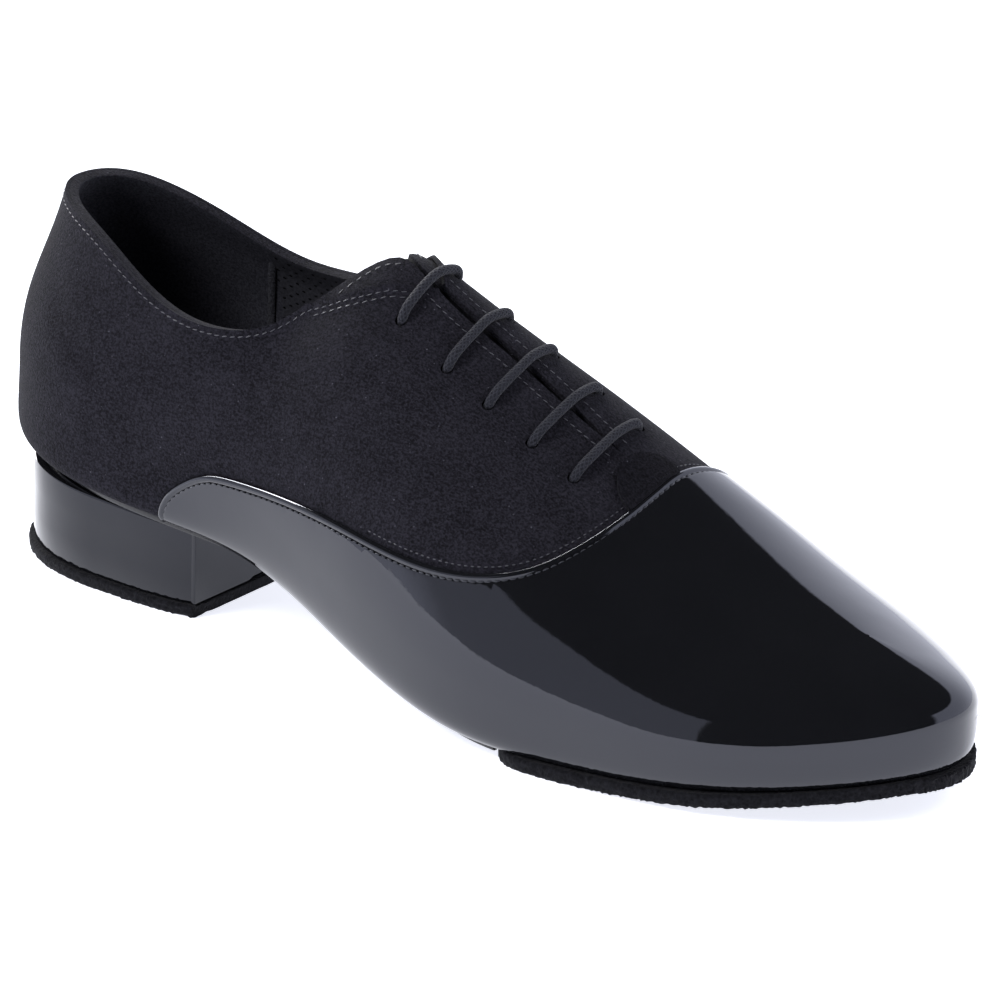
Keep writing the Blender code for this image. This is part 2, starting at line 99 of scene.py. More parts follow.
TONGUE_SPAN = (0.405, 0.745)
LACE_AT = (0.451, 0.505, 0.549, 0.594, 0.636)
LACE_DIAMETER = 0.0025
LACE_BRAID = 0.0015
SEAT = HEEL_HEIGHT + GAP + WAIST_THICKNESS + GAP
TREAD = SOLE_THICKNESS + GAP
ORIGIN = HEEL_INSET + HEEL_LENGTH / 2
LOW_REACH = 0.92
LOW_RISE = 0.80
HIGH_RISE = 0.45
HIGH_REACH = 0.45
FALL_FROM = 69
FALL_OVER = 17

# Turned-under edge: share of the length; middle, outer, inner as shares of half the ball width; share
# of the heel seat's height over the forepart's; share of the toe spring
UNDER = [
    # x, middle, outer, inner, seat, spring
    (0.00, 0.00, 0.00, 0.00, 1.00, 0.00),
    (0.04, 0.00, 0.35, 0.35, 1.00, 0.00),
    (0.13, 0.00, 0.56, 0.56, 0.98, 0.00),
    (0.25, 0.00, 0.57, 0.55, 0.91, 0.00),
    (0.36, 0.00, 0.50, 0.42, 0.69, 0.00),
    (0.48, 0.00, 0.60, 0.42, 0.27, 0.00),
    (0.60, 0.02, 0.82, 0.66, 0.03, 0.00),
    (0.72, 0.07, 0.84, 0.77, 0.00, 0.00),
    (0.84, 0.11, 0.70, 0.66, 0.00, 0.22),
    (0.94, 0.15, 0.44, 0.40, 0.00, 0.66),
    (1.00, 0.18, 0.00, 0.00, 0.00, 1.00),
]

# Widest line, with its height over the turned-under edge as a share of the instep height
SIDE = [
    # x, middle, outer, inner, rise
    (0.00, 0.00, 0.00, 0.00, 0.235),
    (0.04, 0.00, 0.42, 0.42, 0.235),
    (0.13, 0.00, 0.65, 0.64, 0.230),
    (0.25, 0.00, 0.66, 0.65, 0.223),
    (0.36, 0.00, 0.70, 0.62, 0.223),
    (0.48, 0.01, 0.85, 0.66, 0.223),
    (0.60, 0.04, 0.97, 0.84, 0.188),
    (0.72, 0.09, 0.95, 0.90, 0.147),
    (0.84, 0.13, 0.84, 0.80, 0.129),
    (0.94, 0.17, 0.53, 0.48, 0.135),
    (1.00, 0.18, 0.00, 0.00, 0.155),
]

# Collar, facing edge and ridge
CREST = [
    # x, middle, half, back, instep, more, lean, tilt
    (0.000, 0.00, 0.000, 1.00, 0.000, 0.000, 14, 0),
    (0.040, 0.00, 0.280, 0.98, 0.000, 0.000, 14, 0),
    (0.120, 0.02, 0.460, 0.92, 0.000, -0.050, 14, 0),
    (0.210, 0.03, 0.550, 0.60, 0.160, -0.045, 15, 0),
    (0.290, 0.03, 0.540, 0.30, 0.400, -0.020, 18, 0),
    (0.350, 0.04, 0.420, 0.10, 0.655, -0.020, 34, 0),
    (0.395, 0.04, 0.220, 0.02, 0.885, -0.020, 55, 3),
    (0.430, 0.01, 0.060, 0.00, 1.000, -0.010, 75, 9),
    (0.480, -0.03, 0.020, 0.00, 0.998, 0.005, 82, 14),
    (0.580, 0.00, 0.018, 0.00, 0.900, 0.010, 88, 15),
    (0.660, 0.04, 0.014, 0.00, 0.789, 0.005, 90, 17),
    (0.710, 0.06, 0.000, 0.00, 0.714, 0.000, 90, 17),
    (0.820, 0.12, 0.000, 0.00, 0.536, 0.000, 90, 11),
    (0.920, 0.15, 0.000, 0.00, 0.393, 0.000, 90, 5),
    (1.000, 0.17, 0.000, 0.00, 0.296, 0.000, 90, 0),
]

# The vamp's rear edge from the side: share of the length, share of the instep height
SEAM = [
    # x, z
    (0.236, 0.200),
    (0.237, 0.320),
    (0.245, 0.380),
    (0.264, 0.440),
    (0.291, 0.490),
    (0.330, 0.512),
    (0.400, 0.527),
    (0.470, 0.525),
    (0.545, 0.508),
    (0.600, 0.508),
    (0.636, 0.526),
    (0.657, 0.552),
    (0.671, 0.585),
    (0.680, 0.618),
    (0.685, 0.650),
    (0.687, 0.690),
    (0.687, 0.800),
]

# Upper edge of the quarters' top layer where it leaves the collar for the facing: share of the way, h
LAYER_EDGE = [
    # way, h
    (0.350, 1.060),
    (0.372, 0.960),
    (0.388, 0.890),
    (0.409, 0.825),
    (0.424, 0.805),
    (0.437, 0.818),
    (0.448, 0.848),
    (0.462, 0.890),
    (0.480, 0.960),
    (0.500, 1.060),
]

# Creases of the quarters: both ends as (way round, height), width and depth in metres
CREASES = [
    ((-0.33, 0.60), (-0.42, 0.42), 0.0030, 0.00035),
    ((-0.40, 0.72), (-0.47, 0.50), 0.0026, 0.00030),
    ((-0.46, 0.62), (-0.55, 0.52), 0.0024, 0.00025),
    ((-0.17, 0.55), (-0.26, 0.30), 0.0034, 0.00030),
    ((0.36, 0.66), (0.45, 0.46), 0.0028, 0.00030),
    ((0.46, 0.66), (0.53, 0.50), 0.0026, 0.00025),
]

# Leather and thread in the shoe's own sizes. The suede's fuzz takes its room from the sole's margin.
FUZZ_ROOM = 0.0005
TOP_LAYER = 0.0010
LAYER_GAP = 0.00006
COLLAR_PAD = 0.0024
VAMP_OUT = 0.0012
VAMP_EDGE = 0.0023
TAB_WALL = 0.0013
TAB_RADIUS = 0.0090
TONGUE_WALL = 0.0020
EYELET_RADIUS = 0.0016
EYELET_H = (0.79, 0.815)  # the outer and the inner row

# Rows of stitches, in metres from the edge that they follow
VAMP_ROW = 0.0023
FINE_ROW = 0.0016
COLLAR_ROW = 0.0017
LAYER_ROW = 0.0032
FACING_ROW = 0.0030
HUMP_ROW = 0.0022

# The photograph's view of the shoe
VIEW_AZIMUTH = 39.32
VIEW_ELEVATION = 23.06
VIEW_ROLL = 1.16
VIEW_DISTANCE = 2.833
VIEW_TARGET = (0.11466, -0.00659, 0.04811)
LENS = 417.3


def angle_of(share):
    """The way round, as a share from heel to toe, at which a rail reaches this share of its length."""
    return math.acos(1 - 2 * share) / math.pi


def share_of(q):
    return (1 - np.cos(np.pi * q)) / 2


RIDGE_START = angle_of(THROAT) - 1e-6


def natural(knots, values, at):
    """A natural cubic spline through the knots."""
    knots, values, at = (np.asarray(a, float) for a in (knots, values, at))
    count = len(knots)
    step = np.diff(knots)
    matrix = np.eye(count)
    bend = np.zeros(count)
    for i in range(1, count - 1):
        matrix[i, i - 1 : i + 2] = step[i - 1], 2 * (step[i - 1] + step[i]), step[i]
        bend[i] = 6 * ((values[i + 1] - values[i]) / step[i] - (values[i] - values[i - 1]) / step[i - 1])
    curve = np.linalg.solve(matrix, bend)
    i = np.clip(np.searchsorted(knots, at) - 1, 0, count - 2)
    t = at - knots[i]
    slope = (values[i + 1] - values[i]) / step[i] - step[i] * (2 * curve[i] + curve[i + 1]) / 6
    return values[i] + t * (slope + t * (curve[i] / 2 + t * (curve[i + 1] - curve[i]) / (6 * step[i])))


def track(rows, column, q, sign=1):
    """A table's column along the way round, carried on past both ends with this sign."""
    knots = [angle_of(row[0]) for row in rows]
    values = [row[column] for row in rows]
    before = [-k for k in knots[3:0:-1]]
    after = [2 - k for k in knots[-2:-5:-1]]
    mirrored = [sign * v for v in values[3:0:-1]], [sign * v for v in values[-2:-5:-1]]
    return natural(before + knots + after, mirrored[0] + values + mirrored[1], q)


def rail(rows, start, end, p, outer, inner):
    """x and y of a rail around the last."""
    q = np.abs(p)
    x = start + (end - start) * share_of(q) - ORIGIN
    widths = [np.maximum(track(rows, column, q, -1), 0) for column in (outer, inner)]
    reach = np.where(p < 0, -widths[0], widths[1])
    return x, (track(rows, 1, q) + reach) * BALL_WIDTH / 2


def under(p):
    q = np.abs(p)
    x, y = rail(UNDER, BACK_TUCK, LENGTH - TOE_TUCK, p, 2, 3)
    z = TREAD + (SEAT - TREAD) * track(UNDER, 4, q) + TOE_SPRING * track(UNDER, 5, q)
    return np.stack([x, y, z], -1)


def side(p):
    x, y = rail(SIDE, 0.0, LENGTH, p, 2, 3)
    rise = INSTEP_HEIGHT * track(SIDE, 4, np.abs(p))
    return np.stack([x, y, under(p)[..., 2] + rise], -1)


def crest(p):
    """The top rail. Past the throat its two sides are one line, the ridge."""
    q = np.abs(p)
    open_part = q < RIDGE_START
    x, y = rail(CREST, COLLAR_LEAN, LENGTH - TOE_SLOPE, p, 2, 2)
    y = np.where(open_part, y, track(CREST, 1, q) * BALL_WIDTH / 2)
    rise = BACK_HEIGHT * track(CREST, 3, q) + INSTEP_HEIGHT * track(CREST, 4, q)
    more = np.where(open_part & (p > 0), INSTEP_HEIGHT * track(CREST, 5, q), 0)
    return np.stack([x, y, under(p)[..., 2] + rise + more], -1)


def crest_slope(q):
    """Fall of the ridge for each metre forward."""
    middle = np.clip(q, 0.02, 0.98)
    line = crest(np.stack([middle - 0.01, middle + 0.01]))
    return (line[1, ..., 2] - line[0, ..., 2]) / np.maximum(line[1, ..., 0] - line[0, ..., 0], 1e-6)


def soft_step(t):
    """Rises from 0 to 1 with a level start and end."""
    return t * t * (3 - 2 * t)


def bezier(a, b, c, d, t):
    t = t[..., None]
    return (1 - t) ** 3 * a + 3 * t * (1 - t) ** 2 * b + 3 * t * t * (1 - t) * c + t**3 * d


def last(p, h):
    """Points of the last. p and h are arrays of one shape."""
    p = (np.asarray(p, float) + 1) % 2 - 1
    h = np.asarray(h, float)
    q = np.abs(p)
    low, wide, top = under(p), side(p), crest(p)
    up = np.array([0.0, 0.0, 1.0])
    outward = np.stack([-np.cos(np.pi * q), np.where(p < 0, -1, 1) * np.sin(np.pi * q), 0 * q], -1)

    reach = np.linalg.norm((wide - low)[..., :2], axis=-1)[..., None]
    rise = (wide - low)[..., 2:]
    start = low + outward * reach * LOW_REACH
    lower = bezier(low, start, wide - up * rise * LOW_RISE, wide, 1 + np.minimum(h, 0))

    lean = np.radians(track(CREST, 6, q))
    flatness = np.clip((np.degrees(lean) - FALL_FROM) / FALL_OVER, 0, 1)
    fall = np.clip(crest_slope(q), -STEEPEST_RIDGE, 0) * np.clip(outward[..., 0], 0, 1) * flatness
    turned = lean + np.radians(track(CREST, 7, q)) * np.where(p < 0, -1, 1)
    leaning = outward * np.sin(turned)[..., None] + up * (fall - np.cos(turned))[..., None]
    leaning /= np.linalg.norm(leaning, axis=-1)[..., None]
    height = (top - wide)[..., 2:]
    width = np.linalg.norm((top - wide)[..., :2], axis=-1)[..., None]
    handle = np.hypot(width * np.sin(lean)[..., None], height * np.cos(lean)[..., None])
    end = top + leaning * handle * HIGH_REACH
    upper = bezier(wide, wide + up * height * HIGH_RISE, end, top, np.maximum(h, 0))
    return np.where(h[..., None] < 0, lower, upper)


def outward_normal(p, h):
    """Unit normals of the last, pointing out of the shoe."""
    step = 0.003
    h = np.minimum(h, 1 - step)
    along = last(p + step, h) - last(p - step, h)
    across = last(p, np.minimum(h + step, 1)) - last(p, np.maximum(h - step, -1))
    normal = np.cross(across, along)
    return normal / np.linalg.norm(normal, axis=-1)[..., None]


def shell_point(p, h, distance):
    """The last moved this far outwards. On the ridge both sides take their mean normal."""
    p, h, distance = np.broadcast_arrays(*(np.asarray(a, float) for a in (p, h, distance)))
    normal = outward_normal(p, h)
    on_ridge = (h > 1 - 1e-6) & (np.abs(p) > RIDGE_START)
    normal = np.where(on_ridge[..., None], normal + outward_normal(-p, h), normal)
    normal /= np.linalg.norm(normal, axis=-1)[..., None]
    return last(p, h) + distance[..., None] * normal


def saddle_point(q, k, distance):
    """A point on the bridge over the facings: k runs from the outer side, below 0, to the inner side."""
    q, k, distance = np.broadcast_arrays(*(np.asarray(a, float) for a in (q, k, distance)))
    outer = shell_point(-q, 1 - np.abs(k), distance)
    inner = shell_point(q, 1 - np.abs(k), distance)
    share = soft_step(np.clip(0.5 + k / 0.04, 0, 1))[..., None]
    return outer * (1 - share) + inner * share


def lengths(line):
    """Metres from a line's start to each of its points."""
    return np.concatenate([[0], np.cumsum(np.linalg.norm(np.diff(line, axis=0), axis=1))])


def around_table():
    """Metres round the shoe at each way round, and metres up at each height, for patterns on the skins."""
    ways = np.linspace(-1, 1, 401)
    line = last(ways, np.full_like(ways, 0.4))
    return ways, lengths(line)


WAYS, METRES_ROUND = around_table()
METRES_UP = 0.055


# Lines on the last


def smooth_line(table, scale, count):
    """A natural spline through a table's points, by the length along them."""
    points = np.array(table) * scale
    length = lengths(points)
    at = np.linspace(0, length[-1], count)
    return np.stack([natural(length, points[:, 0], at), natural(length, points[:, 1], at)], -1)


SEAM_LINE = smooth_line(SEAM, (LENGTH, INSTEP_HEIGHT), 160) - (ORIGIN, 0)


def ahead_of_seam(points):
    """Metres in front of the vamp's edge, seen from the side. It is negative behind the edge."""
    flat = points[..., [0, 2]].reshape(-1, 2)
    start, run = SEAM_LINE[:-1], np.diff(SEAM_LINE, axis=0)
    offset = flat[:, None] - start
    share = np.clip((offset * run).sum(-1) / (run * run).sum(-1), 0, 1)
    away = offset - share[..., None] * run
    distance = np.hypot(away[..., 0], away[..., 1])
    nearest = distance.argmin(1)
    rows = np.arange(len(flat))
    turn = run[nearest, 0] * offset[rows, nearest, 1] - run[nearest, 1] * offset[rows, nearest, 0]
    return np.where(turn < 0, distance[rows, nearest], -distance[rows, nearest]).reshape(points.shape[:-1])


def walk(line, across):
    """A line of (p, h) moved sideways over the last by these metres, to its left seen from outside."""
    p, h = line[:, 0], line[:, 1]
    points = last(p, h)
    ahead = np.gradient(points, axis=0)
    ahead /= np.linalg.norm(ahead, axis=1)[:, None]
    sideways = np.cross(outward_normal(p, h), ahead) * across
    step = 1e-4
    along = (last(p + step, h) - last(p - step, h)) / (2 * step)
    upward = (last(p, h + step) - last(p, h - step)) / (2 * step)
    aa, au, uu = (along**2).sum(1), (along * upward).sum(1), (upward**2).sum(1)
    sa, su = (sideways * along).sum(1), (sideways * upward).sum(1)
    whole = aa * uu - au**2
    moved = np.stack([p + (sa * uu - su * au) / whole, h + (su * aa - sa * au) / whole], -1)
    moved[:, 1] = np.clip(moved[:, 1], -1, 1)
    return moved


def even(line, pitch):
    """A line of (p, h) again, with points this many metres apart."""
    points = last(line[:, 0], line[:, 1])
    length = lengths(points)
    at = np.linspace(0, length[-1], max(2, round(length[-1] / pitch)))
    return np.stack([np.interp(at, length, line[:, 0]), np.interp(at, length, line[:, 1])], -1)


# Modelling


def only(*pieces):
    """Selects these pieces and nothing else, with the first one active."""
    bpy.ops.object.select_all(action="DESELECT")
    for piece in pieces:
        piece.select_set(True)
    bpy.context.view_layer.objects.active = pieces[0]


def in_edit_mode(piece, work):
    only(piece)
    bpy.ops.object.mode_set(mode="EDIT")
    bpy.ops.mesh.select_all(action="SELECT")
    work()
    bpy.ops.object.mode_set(mode="OBJECT")


def merge(piece):
    in_edit_mode(piece, lambda: bpy.ops.mesh.remove_doubles(threshold=2e-5))


def turn_outwards(piece):
    in_edit_mode(piece, lambda: bpy.ops.mesh.normals_make_consistent(inside=False))


def close_ends(piece, threshold=1e-6):
    """Merges a rolled-up grid's seam, caps its open ends and turns its faces outwards."""

    def close():
        bpy.ops.mesh.remove_doubles(threshold=threshold)
        bpy.ops.mesh.select_all(action="DESELECT")
        bpy.ops.mesh.select_non_manifold()
        bpy.ops.mesh.edge_face_add()
        bpy.ops.mesh.select_all(action="SELECT")
        bpy.ops.mesh.normals_make_consistent(inside=False)

    in_edit_mode(piece, close)
    return piece


def modify(piece, kind, **settings):
    only(piece)
    modifier = piece.modifiers.new(kind.title(), kind)
    for key, value in settings.items():
        setattr(modifier, key, value)
    bpy.ops.object.modifier_apply(modifier=modifier.name)


def round_edges(piece, width, segments=3):
    """Bevels the sharp edges that a wall's thickness or a cut leaves."""
    sharp = math.radians(55)
    modify(piece, "BEVEL", width=width, segments=segments, limit_method="ANGLE", angle_limit=sharp)


def joined(name, *pieces):
    """One piece made of these."""
    only(*pieces)
    bpy.ops.object.join()
    pieces[0].name = name
    pieces[0].data.name = name
    return pieces[0]


def laid_grid(name, points):
    """A grid primitive with its points laid at these places, given as rows of columns."""
    rows, columns = points.shape[:2]
    bpy.ops.mesh.primitive_grid_add(x_subdivisions=columns - 1, y_subdivisions=rows - 1)
    piece = bpy.context.object
    piece.name = name
    piece.data.name = name
    write_points(piece, points)
    return piece


def pattern(name, ways, heights):
    """A flat pattern piece in the plane of p and h, or of q and k."""
    p, h = np.meshgrid(ways, heights)
    return laid_grid(name, np.stack([p, h, 0 * p], -1))


def plane_points(piece):
    points = np.empty(len(piece.data.vertices) * 3, np.float32)
    piece.data.vertices.foreach_get("co", points)
    return points.reshape(-1, 3).astype(float)


def cut_pattern(piece, keep):
    """Cuts a flat pattern where keep(p, h) is zero, drops the side below zero and gives the cut's points."""
    flat = plane_points(piece)
    value = keep(flat[:, 0], flat[:, 1])
    value = np.where(np.abs(value) < 1e-7, 1e-7, value)
    work = bmesh.new()
    work.from_mesh(piece.data)
    outside = [vert for vert, v in zip(work.verts, value) if v < 0]
    value = dict(zip(work.verts, value))
    fresh = set()
    for edge in [e for e in work.edges if value[e.verts[0]] * value[e.verts[1]] < 0]:
        start, end = edge.verts
        share = value[start] / (value[start] - value[end])
        fresh.add(bmesh.utils.edge_split(edge, start, share)[1])
    for face in list(work.faces):
        cut = [vert for vert in face.verts if vert in fresh]
        if len(cut) == 2:
            bmesh.utils.face_split(face, *cut)
    bmesh.ops.delete(work, geom=outside, context="VERTS")
    near = {}
    for vert in (v for v in fresh if v.is_valid):
        near[vert] = [e.other_vert(vert) for e in vert.link_edges if e.other_vert(vert) in fresh]
    line = []
    here = next((v for v in near if len(near[v]) == 1), None)
    while here is not None and here not in line:
        line.append(here)
        here = next((v for v in near[here] if v not in line), None)
    line = np.array([v.co[:2] for v in line])
    work.to_mesh(piece.data)
    work.free()
    return line


def write_points(piece, points):
    piece.data.vertices.foreach_set("co", np.ascontiguousarray(points, np.float32).reshape(-1))
    piece.data.update()


def write_uv(piece, uv):
    """Gives each corner of the piece's faces its point's place on the UV map."""
    corners = np.empty(len(piece.data.loops), np.int32)
    piece.data.loops.foreach_get("vertex_index", corners)
    piece.data.uv_layers.active.data.foreach_set("uv", uv[corners].astype(np.float32).reshape(-1))


def lay(piece, place, distance):
    """Lays a flat pattern on the shoe. Its UV map keeps the metres round and up the shoe."""
    p, h = plane_points(piece)[:, :2].T
    write_uv(piece, np.stack([np.interp(p, WAYS, METRES_ROUND), h * METRES_UP], -1))
    write_points(piece, place(p, h, distance))


def finish(piece, material, slot, *replaced, angle=40):
    """Smooth shading, material and body of a finished piece. The slot is not used."""
    only(piece)
    bpy.ops.object.shade_smooth_by_angle(angle=math.radians(angle))
    if not piece.data.materials:
        piece.data.materials.append(material)
    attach(piece, "root")
    if replaced:
        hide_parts(*replaced)
    return piece


def ripple(points, size, depth, seed):
    """Soft unevenness of a skin: depth at each point, over waves of this size."""
    shift = Vector((seed, 2.3 * seed, 0.7 * seed))
    return depth * np.array([noise.noise(Vector(point) / size + shift) for point in points])


def tube(name, route, radius, sides, rib):
    """A closed tube along a route. rib gives the height of its weave from the metres along and the turn."""
    route = np.asarray(route)
    ahead = np.gradient(route, axis=0)
    ahead /= np.linalg.norm(ahead, axis=1)[:, None]
    across = np.cross(ahead, [0.0, 0.0, 1.0])
    across[np.linalg.norm(across, axis=1) < 1e-6] = (0, 1, 0)
    for i in range(1, len(across)):
        across[i] = across[i - 1] - ahead[i] * (across[i - 1] @ ahead[i])
        across[i] /= np.linalg.norm(across[i])
    across[0] /= np.linalg.norm(across[0])
    over = np.cross(across, ahead)
    length = lengths(route)
    turn = np.linspace(0, 2 * np.pi, sides + 1)
    rise = radius + rib(length[None], turn[:, None])
    points = route[None] + rise[..., None] * (
        across[None] * np.cos(turn)[:, None, None] + over[None] * np.sin(turn)[:, None, None]
    )
    piece = laid_grid(name, points)
    write_uv(piece, np.stack(np.broadcast_arrays(length[None], turn[:, None] * radius), -1).reshape(-1, 2))
    return close_ends(piece)


def swept(name, line, profile):
    """A closed strip over the last: profile holds (metres across the line, metres outwards), in a ring."""
    rows = []
    for across, out in profile + profile[:1]:
        p, h = walk(line, across).T
        rows.append(shell_point(p, h, out))
    return close_ends(laid_grid(name, np.array(rows)))


def bead():
    """Points and faces of one stitch, modelled once: a rounded grain of unit length and thickness."""
    bpy.ops.mesh.primitive_uv_sphere_add(segments=8, ring_count=6, radius=0.5)
    grain = bpy.context.object
    quarter_turn = {"value": math.pi / 2, "orient_axis": "Y", "center_override": (0, 0, 0)}
    in_edit_mode(grain, lambda: bpy.ops.transform.rotate(**quarter_turn))
    points = plane_points(grain)
    faces = [tuple(face.vertices) for face in grain.data.polygons]
    bpy.data.objects.remove(grain, do_unlink=True)
    return points, faces


BEAD_POINTS, BEAD_FACES = bead()


def stitches(name, thread, lines, out, pitch, length, thickness, tilt=0.0):
    """Rows of stitches along lines of (p, h), joined as one piece."""
    points, faces = [], []
    for line in lines:
        row = even(line, pitch)
        where = shell_point(row[:, 0], row[:, 1], out)
        normal = outward_normal(row[:, 0], row[:, 1])
        ahead = np.gradient(where, axis=0)
        ahead -= normal * (ahead * normal).sum(1)[:, None]
        ahead /= np.linalg.norm(ahead, axis=1)[:, None]
        aside = np.cross(normal, ahead)
        turned = ahead * math.cos(tilt) + aside * math.sin(tilt)
        for place, up, forward in zip(where, normal, turned):
            across = np.cross(up, forward)
            grain = BEAD_POINTS * (length, thickness, thickness * 0.7)
            first = len(points) * len(BEAD_POINTS)
            points.append(place + grain[:, :1] * forward + grain[:, 1:2] * across + grain[:, 2:] * up)
            faces += [tuple(first + corner for corner in face) for face in BEAD_FACES]
    mesh = bpy.data.meshes.new(name)
    mesh.from_pydata(np.concatenate(points).tolist(), [], faces)
    piece = bpy.data.objects.new(name, mesh)
    bpy.context.collection.objects.link(piece)
    turn_outwards(piece)
    return finish(piece, thread, "lace", angle=70)


# Shader maths


class Wire:
    """A socket's value, with sums, products and limits as Math nodes."""

    def __init__(self, finish, socket):
        self.finish = finish
        self.socket = socket

    def maths(self, operation, *others):
        return self.finish.add("ShaderNodeMath", {"operation": operation}, (self, *others))

    def __add__(self, other):
        return self.maths("ADD", other)

    def __sub__(self, other):
        return self.maths("SUBTRACT", other)

    def __rsub__(self, other):
        return self.finish.add("ShaderNodeMath", {"operation": "SUBTRACT"}, (other, self))

    def __mul__(self, other):
        return self.maths("MULTIPLY", other)

    def __truediv__(self, other):
        return self.maths("DIVIDE", other)

    __radd__ = __add__
    __rmul__ = __mul__

    def between(self, low, high):
        """0 below low, 1 above high and a soft step between them."""
        sockets = {"Value": self, "From Min": low, "From Max": high}
        return self.finish.add("ShaderNodeMapRange", {"interpolation_type": "SMOOTHSTEP"}, sockets)


class Finish:
    """A material's node tree."""

    def __init__(self, name, tree=None, **shader):
        if tree is None:
            self.material = bpy.data.materials.new(name)
            self.material.use_nodes = True
            tree = self.material.node_tree
        self.tree = tree
        self.shader = tree.nodes.get("Principled BSDF")
        for key, value in shader.items():
            self.shader.inputs[key.replace("_", " ").title().replace("Ior", "IOR")].default_value = value

    def add(self, kind, settings=None, sockets=(), output=0):
        """Adds a node with its settings, then the values or links of its sockets, and gives its output."""
        node = self.tree.nodes.new(kind)
        for key, value in (settings or {}).items():
            setattr(node, key, value)
        pairs = sockets.items() if isinstance(sockets, dict) else enumerate(sockets)
        for key, value in pairs:
            if isinstance(value, Wire):
                self.tree.links.new(value.socket, node.inputs[key])
            else:
                node.inputs[key].default_value = value
        return Wire(self, node.outputs[output])

    def place(self):
        return self.add("ShaderNodeTexCoord", output="Object")

    def on_surface(self):
        """Metres round and up the shoe, from the piece's own UV map."""
        return self.add("ShaderNodeUVMap", {"uv_map": "UVMap"})

    def split(self, vector):
        node = self.tree.nodes.new("ShaderNodeSeparateXYZ")
        self.tree.links.new(vector.socket, node.inputs[0])
        return [Wire(self, output) for output in node.outputs]

    def noise(self, size, detail, roughness, stretch=None):
        """Noise from 0 to 1 with waves of this size in metres."""
        place = self.place()
        if stretch:
            place = self.add("ShaderNodeMapping", None, {"Vector": place, "Scale": stretch})
        sockets = {"Vector": place, "Scale": 1 / size, "Detail": detail, "Roughness": roughness}
        return self.add("ShaderNodeTexNoise", None, sockets)

    def cells(self, size):
        """Distance from the middle of cells of this size in metres."""
        return self.add("ShaderNodeTexVoronoi", None, {"Vector": self.place(), "Scale": 1 / size})

    def mix(self, share, first, second):
        """A colour between two colours."""
        first, second = ((*c, 1) if isinstance(c, tuple) else c for c in (first, second))
        return self.add("ShaderNodeMix", {"data_type": "RGBA"}, {0: share, 6: first, 7: second}, output=2)

    def feed(self, **links):
        for key, value in links.items():
            self.tree.links.new(value.socket, self.shader.inputs[key.replace("_", " ")])
        return self.material

    def bump(self, height, depth, strength):
        """A normal from a height of 0 to 1 that stands for this depth in metres."""
        return self.add("ShaderNodeBump", None, {"Strength": strength, "Distance": depth, "Height": height})


def nubuck(name="nubuck", dark=(0.0045, 0.0044, 0.0058), light=(0.0275, 0.0264, 0.0355)):
    """Matte leather with a fine nap: grain, soft clouds where the nap lies over, and light flecks."""
    f = Finish(name, roughness=0.92, sheen_weight=0.04, sheen_roughness=0.4, specular_ior_level=0.06)
    grain = f.noise(0.0006, 3.0, 0.65)
    fibre = f.noise(0.0010, 2.0, 0.6, stretch=(1.0, 2.6, 1.7))
    cloud = f.noise(0.011, 3.0, 0.6).between(0.3, 0.7)
    fleck = 1 - f.cells(0.0024).between(0.05, 0.10)
    height = grain * 0.6 + fibre * 0.4
    colour = f.mix(height.between(0.36, 0.66) * 0.84 + cloud * 0.16, dark, light)
    colour = f.mix(fleck * 0.5 * cloud, colour, (0.17, 0.17, 0.21))
    return f.feed(Base_Color=colour, Normal=f.bump(height, 0.00042, 1.0))


def suede():
    """Coarser nap than the nubuck's, for the sole and the heel's tip."""
    f = Finish("suede", roughness=0.96, sheen_weight=0.08, sheen_roughness=0.5, specular_ior_level=0.06)
    height = f.noise(0.0006, 4.0, 0.7) * 0.7 + f.cells(0.0011) * 0.3
    colour = f.mix(height.between(0.25, 0.75), (0.0035, 0.0035, 0.0045), (0.016, 0.016, 0.020))
    return f.feed(Base_Color=colour, Normal=f.bump(height, 0.0005, 0.9))


def patent(name="patent", shine=0.9):
    """Black leather under a clear, hard coat: a mirror with the slow waves of the leather below it."""
    f = Finish(name, roughness=0.045, ior=1.52, coat_weight=shine * 0.4, coat_roughness=0.02, coat_ior=1.5)
    f.shader.inputs["Specular Tint"].default_value = (shine * 0.92, shine * 0.95, shine * 1.12, 1)
    wave = f.noise(0.013, 1.5, 0.4)
    peel = f.noise(0.0016, 2.0, 0.5)
    tone = f.noise(0.02, 2.0, 0.5)
    colour = f.mix(tone, (0.0042, 0.0044, 0.0052), (0.0068, 0.0070, 0.0082))
    dust = f.noise(0.004, 4.0, 0.7).between(0.55, 0.85)
    bump = f.bump(wave * 0.93 + peel * 0.07, 0.00035, 0.5)
    return f.feed(Base_Color=colour, Roughness=dust * 0.03 + 0.04, Normal=bump)


